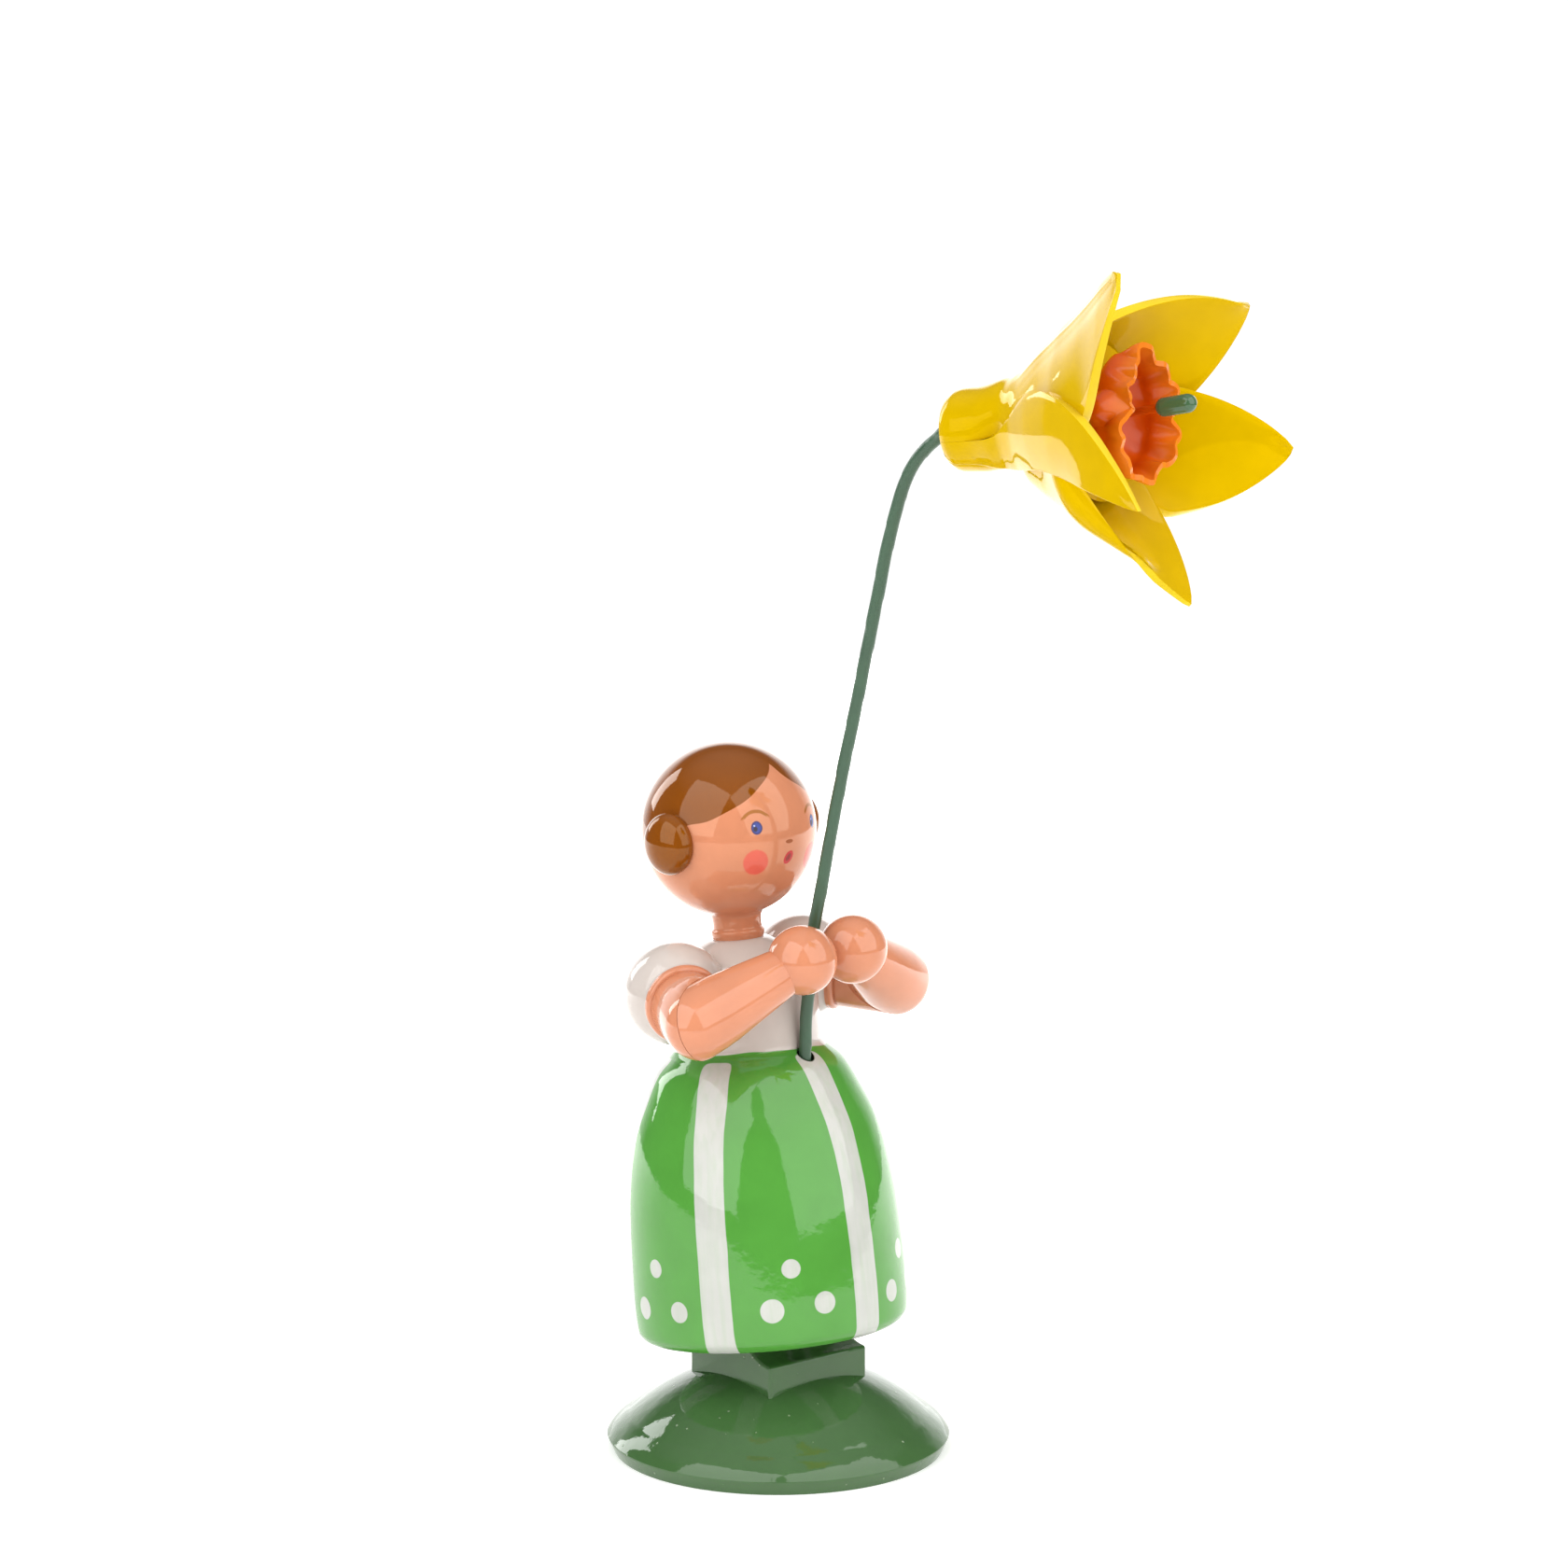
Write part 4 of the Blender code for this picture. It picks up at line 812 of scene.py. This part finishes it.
def petal_point(petal, foot, distance, side):
    """A point of a petal's outer face, at a distance along the bloom's axis and a side from -1 to 1."""
    layer = PETAL_LAYER * blend(0.4 * TUBE_LENGTH, 0.95 * TUBE_LENGTH, distance)
    lap = 0.5 * (petal.low_lap + petal.high_lap)
    radius = petal_radius(distance, petal.tip, petal.tip_radius - lap * layer)
    place = max(0.0, (distance - TUBE_LENGTH) / (petal.tip - TUBE_LENGTH))
    foot_edge, widest = (foot[0], petal.low_width) if side < 0 else (foot[1], petal.high_width)
    half = abs(foot_edge)
    if place > 0:
        reach = math.sin(half)
        shoulder = SHOULDERS.get(petal.name, PETAL_SHOULDER)
        width = petal_half_width(place, reach * flare_radius(TUBE_LENGTH), widest, shoulder)
        half = math.asin(min(width / radius, max(reach, OVERLAP_REACH)))
    sine = math.sin(seam_turn(petal.name, foot, side * half, distance)) + petal.sweep * place ** 2 / radius
    cosine = math.sqrt(1.0 - sine ** 2)
    flat = petal.flatness * blend(CORE_LENGTH, 1.45 * CORE_LENGTH, distance)
    out = radius + layer * (petal.low_lap + (petal.high_lap - petal.low_lap) * blend(-1.0, 1.0, side))
    fade = blend(TUBE_LENGTH, 1.7 * TUBE_LENGTH, distance) * blend(1.0, 0.75, place)
    for middle, height in CREASES.get(petal.name, ()):
        out += height * fade * math.exp(-((side - middle) / CREASE_WIDTH) ** 2)
    point = Vector((out * sine, out * (cosine + (1.0 - cosine) * flat), distance))
    if petal.name == "petal_bottom" and side > 0 and place > 0:
        point = curled_in(out, sine, foot_edge, distance, side)
    return Matrix.Rotation(-math.radians(petal.middle), 3, 'Z') @ point


def make_petal(index, finishes):
    """A thin petal, cut and bent, with a flat edge; its claw is part of the tube."""
    petal, foot = PETALS[index], foot_angles(index)
    rows, columns = 56, 28
    turns = [foot[0] + (foot[1] - foot[0]) * j / columns for j in range(columns + 1)]
    sides = [turn / abs(foot[0] if turn < 0 else foot[1]) for turn in turns]
    shape = bmesh.new()
    lines = []
    for i in range(rows):
        distance = CORE_START + (petal.tip - CORE_START) * (i / rows) ** 0.9
        lines.append([shape.verts.new(petal_point(petal, foot, distance, side)) for side in sides])
    tip = shape.verts.new(petal_point(petal, foot, petal.tip, 0.0))
    for low, high in zip(lines, lines[1:]):
        for j in range(columns):
            shape.faces.new((low[j], high[j], high[j + 1], low[j + 1]))
    for j in range(columns):
        shape.faces.new((lines[-1][j], tip, lines[-1][j + 1]))
    blade = new_object("painted_" + petal.name, shape, BLOOM, finishes, closed=False)
    group = blade.vertex_groups.new(name="thickness")
    for i in range(len(blade.data.vertices)):
        place = max(0.0, i // (columns + 1) / rows - THIN_FROM) / (1.0 - THIN_FROM)
        group.add([i], 1.0 - THIN_BY * place ** 2, 'REPLACE')
    modify(blade, "wall", 'SOLIDIFY', thickness=PETAL_THICKNESS * MM, offset=-1.0,
           vertex_group=group.name, material_offset_rim=1)
    modify(blade, "softened edge", 'BEVEL', width=0.1 * MM, segments=2, limit_method='ANGLE',
           angle_limit=math.radians(50))
    fit(blade, petal.name, 60.0)


def make_core(finish):
    """The turned plug inside the petals, bored for the wires, whose dished face is the bloom's floor."""
    under = PETAL_LAYER + PETAL_THICKNESS
    tube = flare_radius(0.5 * TUBE_LENGTH) - under - 0.1
    floor = CORE_LENGTH - CORE_DISH
    cone = [(flare_radius(CORE_LENGTH * share) - under - CORE_CLEARANCE, CORE_LENGTH * share)
            for share in (1.0, 0.9, 0.8, 0.7, 0.6)]
    profile = [(0.0, floor), (1.6, floor), (CORE_FACE_RADIUS, floor)] + cone
    profile += [(tube, 1.1 * TUBE_LENGTH), (tube, CORE_START), (0.0, CORE_START)]
    wire_bore = rod(STEM_RADIUS + 0.1, -0.3, 5.1, BLOOM)
    pistil_bore = rod(PISTIL_WIRE_RADIUS + 0.05, -0.2, 6.0, PISTIL)
    piece("bloom_plug", lathe(profile, 96), BLOOM, finish, "bloom_core",
          [wire_bore, pistil_bore])


CUP_WAIST_RADIUS, CUP_SHOULDER, CUP_CRUMPLE = 3.7, 0.65, 0.5


def ring_of(points, spans):
    """A smooth closed ring through points that begin with their angle in degrees."""
    before = (points[-1][0] - 360,) + tuple(points[-1][1:])
    after = [(p[0] + 360,) + tuple(p[1:]) for p in points[:2]]
    path = smooth_path([before] + list(points) + after, spans)
    return path[spans:spans + len(points) * spans]


def make_corona(finish):
    """A thin cup, taller than wide, with an uneven ruffled rim that is drawn in on one side."""
    rows = 26
    raised = (CORONA_BACK + 0.3 - PISTIL_START) * math.sin(PISTIL_TILT)
    lobes = ring_of(CUP_LOBES, 8)
    shape = bmesh.new()
    rings = []
    for i in range(rows + 1):
        rise = i / rows
        bowl = math.sin(min(rise / CUP_SHOULDER, 1.0) * math.pi / 2) ** 0.9
        ring = []
        for angle, rim, body in lobes:
            turn = math.radians(angle)
            wall = CUP_WAIST_RADIUS + (body - CUP_WAIST_RADIUS) * blend(0.15, CUP_SHOULDER, rise)
            radius = CORONA_HOLE + (wall - CORONA_HOLE) * bowl + (rim - body) * blend(CUP_SHOULDER, 1.0, rise)
            crumple = noise.noise(Vector((math.cos(turn), math.sin(turn), 0.25 * rise)) * 5.0)
            along = CORONA_BACK + CORONA_DEPTH * rise ** 1.6 + CUP_CRUMPLE * blend(0.4, 1.0, rise) * crumple
            ring.append(shape.verts.new((radius * math.sin(turn), raised + radius * math.cos(turn), along)))
        rings.append(ring)
    for low, high in zip(rings, rings[1:]):
        for j in range(len(lobes)):
            k = (j + 1) % len(lobes)
            shape.faces.new((low[j], high[j], high[k], low[k]))
    corona = new_object("ruffled_corona", shape, BLOOM, [finish], closed=False)
    modify(corona, "wall", 'SOLIDIFY', thickness=CORONA_WALL * MM, offset=1.0)
    fit(corona, "corona", 70.0)


def make_pistil(finish):
    """A bead with rounded ends on the end of a thin wire."""
    high = PISTIL_REACH - PISTIL_RADIUS
    low = PISTIL_REACH - PISTIL_LENGTH + PISTIL_RADIUS
    on_wire = -math.degrees(math.acos(PISTIL_WIRE_RADIUS / PISTIL_RADIUS))
    head = arc(0.0, high, PISTIL_RADIUS, PISTIL_RADIUS, 90.0, 0.0, 14)
    foot = arc(0.0, low, PISTIL_RADIUS, PISTIL_RADIUS, 0.0, on_wire, 10)
    profile = head + foot + [(PISTIL_WIRE_RADIUS, 0.0), (0.0, 0.0)]
    piece("glossy_pistil", lathe(profile, 48), PISTIL, finish, "pistil")


# Studio

# The camera's place in degrees from the figure's front towards its right, and the level way it looks
CAMERA_TURN, AWAY = 45.0, Vector((1.0, 1.0, 0.0)).normalized()
# Lengths in mm, but the glow's reach in metres
CAMERA_PLACE, CAMERA_TILT, CAMERA_LENS = (-420.4, -421.2, 186.0), math.radians(78.7), 142.9
FLOOR_RADIUS, PAPER_FIBRES_PER_M, GLOW_REACH = 450.0, 900.0, 0.15152
PANEL_DISTANCE, PANELS_FACE = 900.0, Vector((0.0, -4.0, 55.0))


def make_floor():
    """Matt white paper sweep that glows of itself, least near the figure and most behind it: painted light,
    not a lamp.

    It gives the eye an even white without a horizon. Its fibres are about 1 mm, as in thick paper.
    """
    shape = bmesh.new()
    bmesh.ops.create_circle(shape, cap_ends=True, segments=96, radius=FLOOR_RADIUS)
    paper, tree, shader = new_material("matt white paper with painted glow")
    place = node(tree, "TexCoord", out="Object")
    fibre = node(tree, "TexNoise", {"Vector": place, "Scale": PAPER_FIBRES_PER_M, "Detail": 3.0})
    away = node(tree, "VectorMath", {0: place, 1: AWAY}, "Value", operation='DOT_PRODUCT')
    # The glow is painted light: the floor shines of itself, most of all behind the figure
    glow = node(tree, "MapRange", {0: away, 1: 0.0, 2: GLOW_REACH, 3: 0.3, 4: 1.5})
    feed(tree, shader, {"Base Color": coats(tree, "#F2F2F0", [("#F6F6F5", fibre)]), "Roughness": 0.85,
                        "Specular IOR Level": 0.2, "Emission Color": "#FFFFFF", "Emission Strength": glow})
    new_object("floor", shape, WORLD, [paper])


def make_surround():
    """White sweep behind the figure, and a dim studio overhead and on the side that is photographed."""
    world = bpy.data.worlds.new("studio")
    bpy.context.scene.world = world
    world.use_nodes = True
    tree = world.node_tree
    direction = node(tree, "TexCoord", out="Generated")
    facing = node(tree, "VectorMath", {0: direction, 1: AWAY}, "Value", operation='DOT_PRODUCT')
    sweep = node(tree, "MapRange", {0: facing, 1: 0.6, 2: 0.97, 3: 0.0, 4: 2.2})
    rise = node(tree, "SeparateXYZ", {0: direction}, 2)
    low = node(tree, "MapRange", {0: rise, 1: 0.3, 2: 0.45, 3: 1.0, 4: 0.0})
    ceiling = node(tree, "MapRange", {0: rise, 1: 0.6, 2: 1.0, 3: 0.15, 4: 0.8})
    strength = node(tree, "Math", {0: sweep, 1: low, 2: ceiling}, operation='MULTIPLY_ADD')
    shown = node(tree, "LightPath", out="Is Camera Ray")
    seen = node(tree, "Mix", {0: shown, 2: strength, 3: 1.1}, 0, data_type='FLOAT')
    feed(tree, tree.nodes["Background"], {"Color": "#FFFFFF", "Strength": seen})


def softbox(name, turn, rise, wide, high, radiance):
    """A soft panel, placed in degrees right of and above the camera's line to the figure."""
    out = outward(CAMERA_TURN - turn, rise)
    light = bpy.data.lights.new(name, 'AREA')
    light.shape = 'RECTANGLE'
    light.size, light.size_y = wide * MM, high * MM
    light.energy = radiance * math.pi * light.size * light.size_y
    add(name, light, aimed(PANELS_FACE + out * PANEL_DISTANCE, out))


def make_camera():
    """A long lens from a little above the figure, turned down towards it."""
    lens = bpy.data.cameras.new("photograph")
    lens.sensor_width, lens.lens = 36.0, CAMERA_LENS
    lens.clip_start, lens.clip_end = 0.01, 20.0
    camera = add("photograph", lens, shift(CAMERA_PLACE))
    camera.rotation_euler = (CAMERA_TILT, 0.0, math.radians(-CAMERA_TURN))
    bpy.context.scene.camera = camera


make_camera()
make_surround()
make_floor()
softbox("panel_left", -45.0, 34.0, 960.0, 1160.0, 2.4)
softbox("panel_right", 57.0, 34.0, 1180.0, 1160.0, 2.2)
softbox("panel_behind", -131.0, 20.0, 240.0, 480.0, 5.0)
bpy.context.scene.view_settings.view_transform = 'Standard'

# Base and block are dipped: the thickest film, with the strongest orange peel and dust that settled in it
dark_green = enamel("dark green gloss enamel", "#3C5E33", peel=0.03, specks=0.06)
# Body, head, arms and buns are dipped, and marks are brushed on
body_enamel = enamel("green and white gloss enamel", body_paint, peel=0.02)
face_enamel = enamel("skin and hair gloss enamel", head_paint, tint="#FFE8D0")
skin_enamel = enamel("skin gloss enamel", SKIN)
sleeve_enamel = enamel("white and skin gloss enamel", sleeve_paint)
hair_enamel = enamel("brown gloss enamel", HAIR, tint="#FFE2B8")
# Petals have a thin film that mirrors less, and it is thinnest and dullest on the cut edge, whose lighter
# yellow is partly thin paint and partly a painted highlight where the edge catches the light
petal_yellow = enamel("yellow gloss enamel", "#CDA700", peel=0.01, ior=1.42, tint="#FFD800")
petal_edge_and_sheen = enamel("thin yellow enamel and painted sheen on a cut edge", "#DFC02A", roughness=0.12, ior=1.42, tint="#FFD800")
# The cup's orange is the dullest of the paints, as if put on in a single coat
corona_orange = enamel("orange enamel", cup_paint_and_shade, roughness=0.22, ior=1.36)
pistil_green = enamel("olive gloss enamel", pistil_paint)
tape = paper_tape("waxed green paper tape")
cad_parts["leg_dowel"].material_slots[0].material = bare_beech("bare beech")

make_base(dark_green)
make_shoe_block(dark_green)
make_body(body_enamel)
make_head(face_enamel)
for name, sign in (("right", -1.0), ("left", 1.0)):
    make_bun(name, sign, hair_enamel)
    make_sleeve(name, sign, sleeve_enamel)
    make_forearm(name, sign, skin_enamel)
make_stem(tape)
make_core(petal_yellow)
for number in range(len(PETALS)):
    make_petal(number, [petal_yellow, petal_edge_and_sheen])
make_corona(corona_orange)
make_pistil(pistil_green)
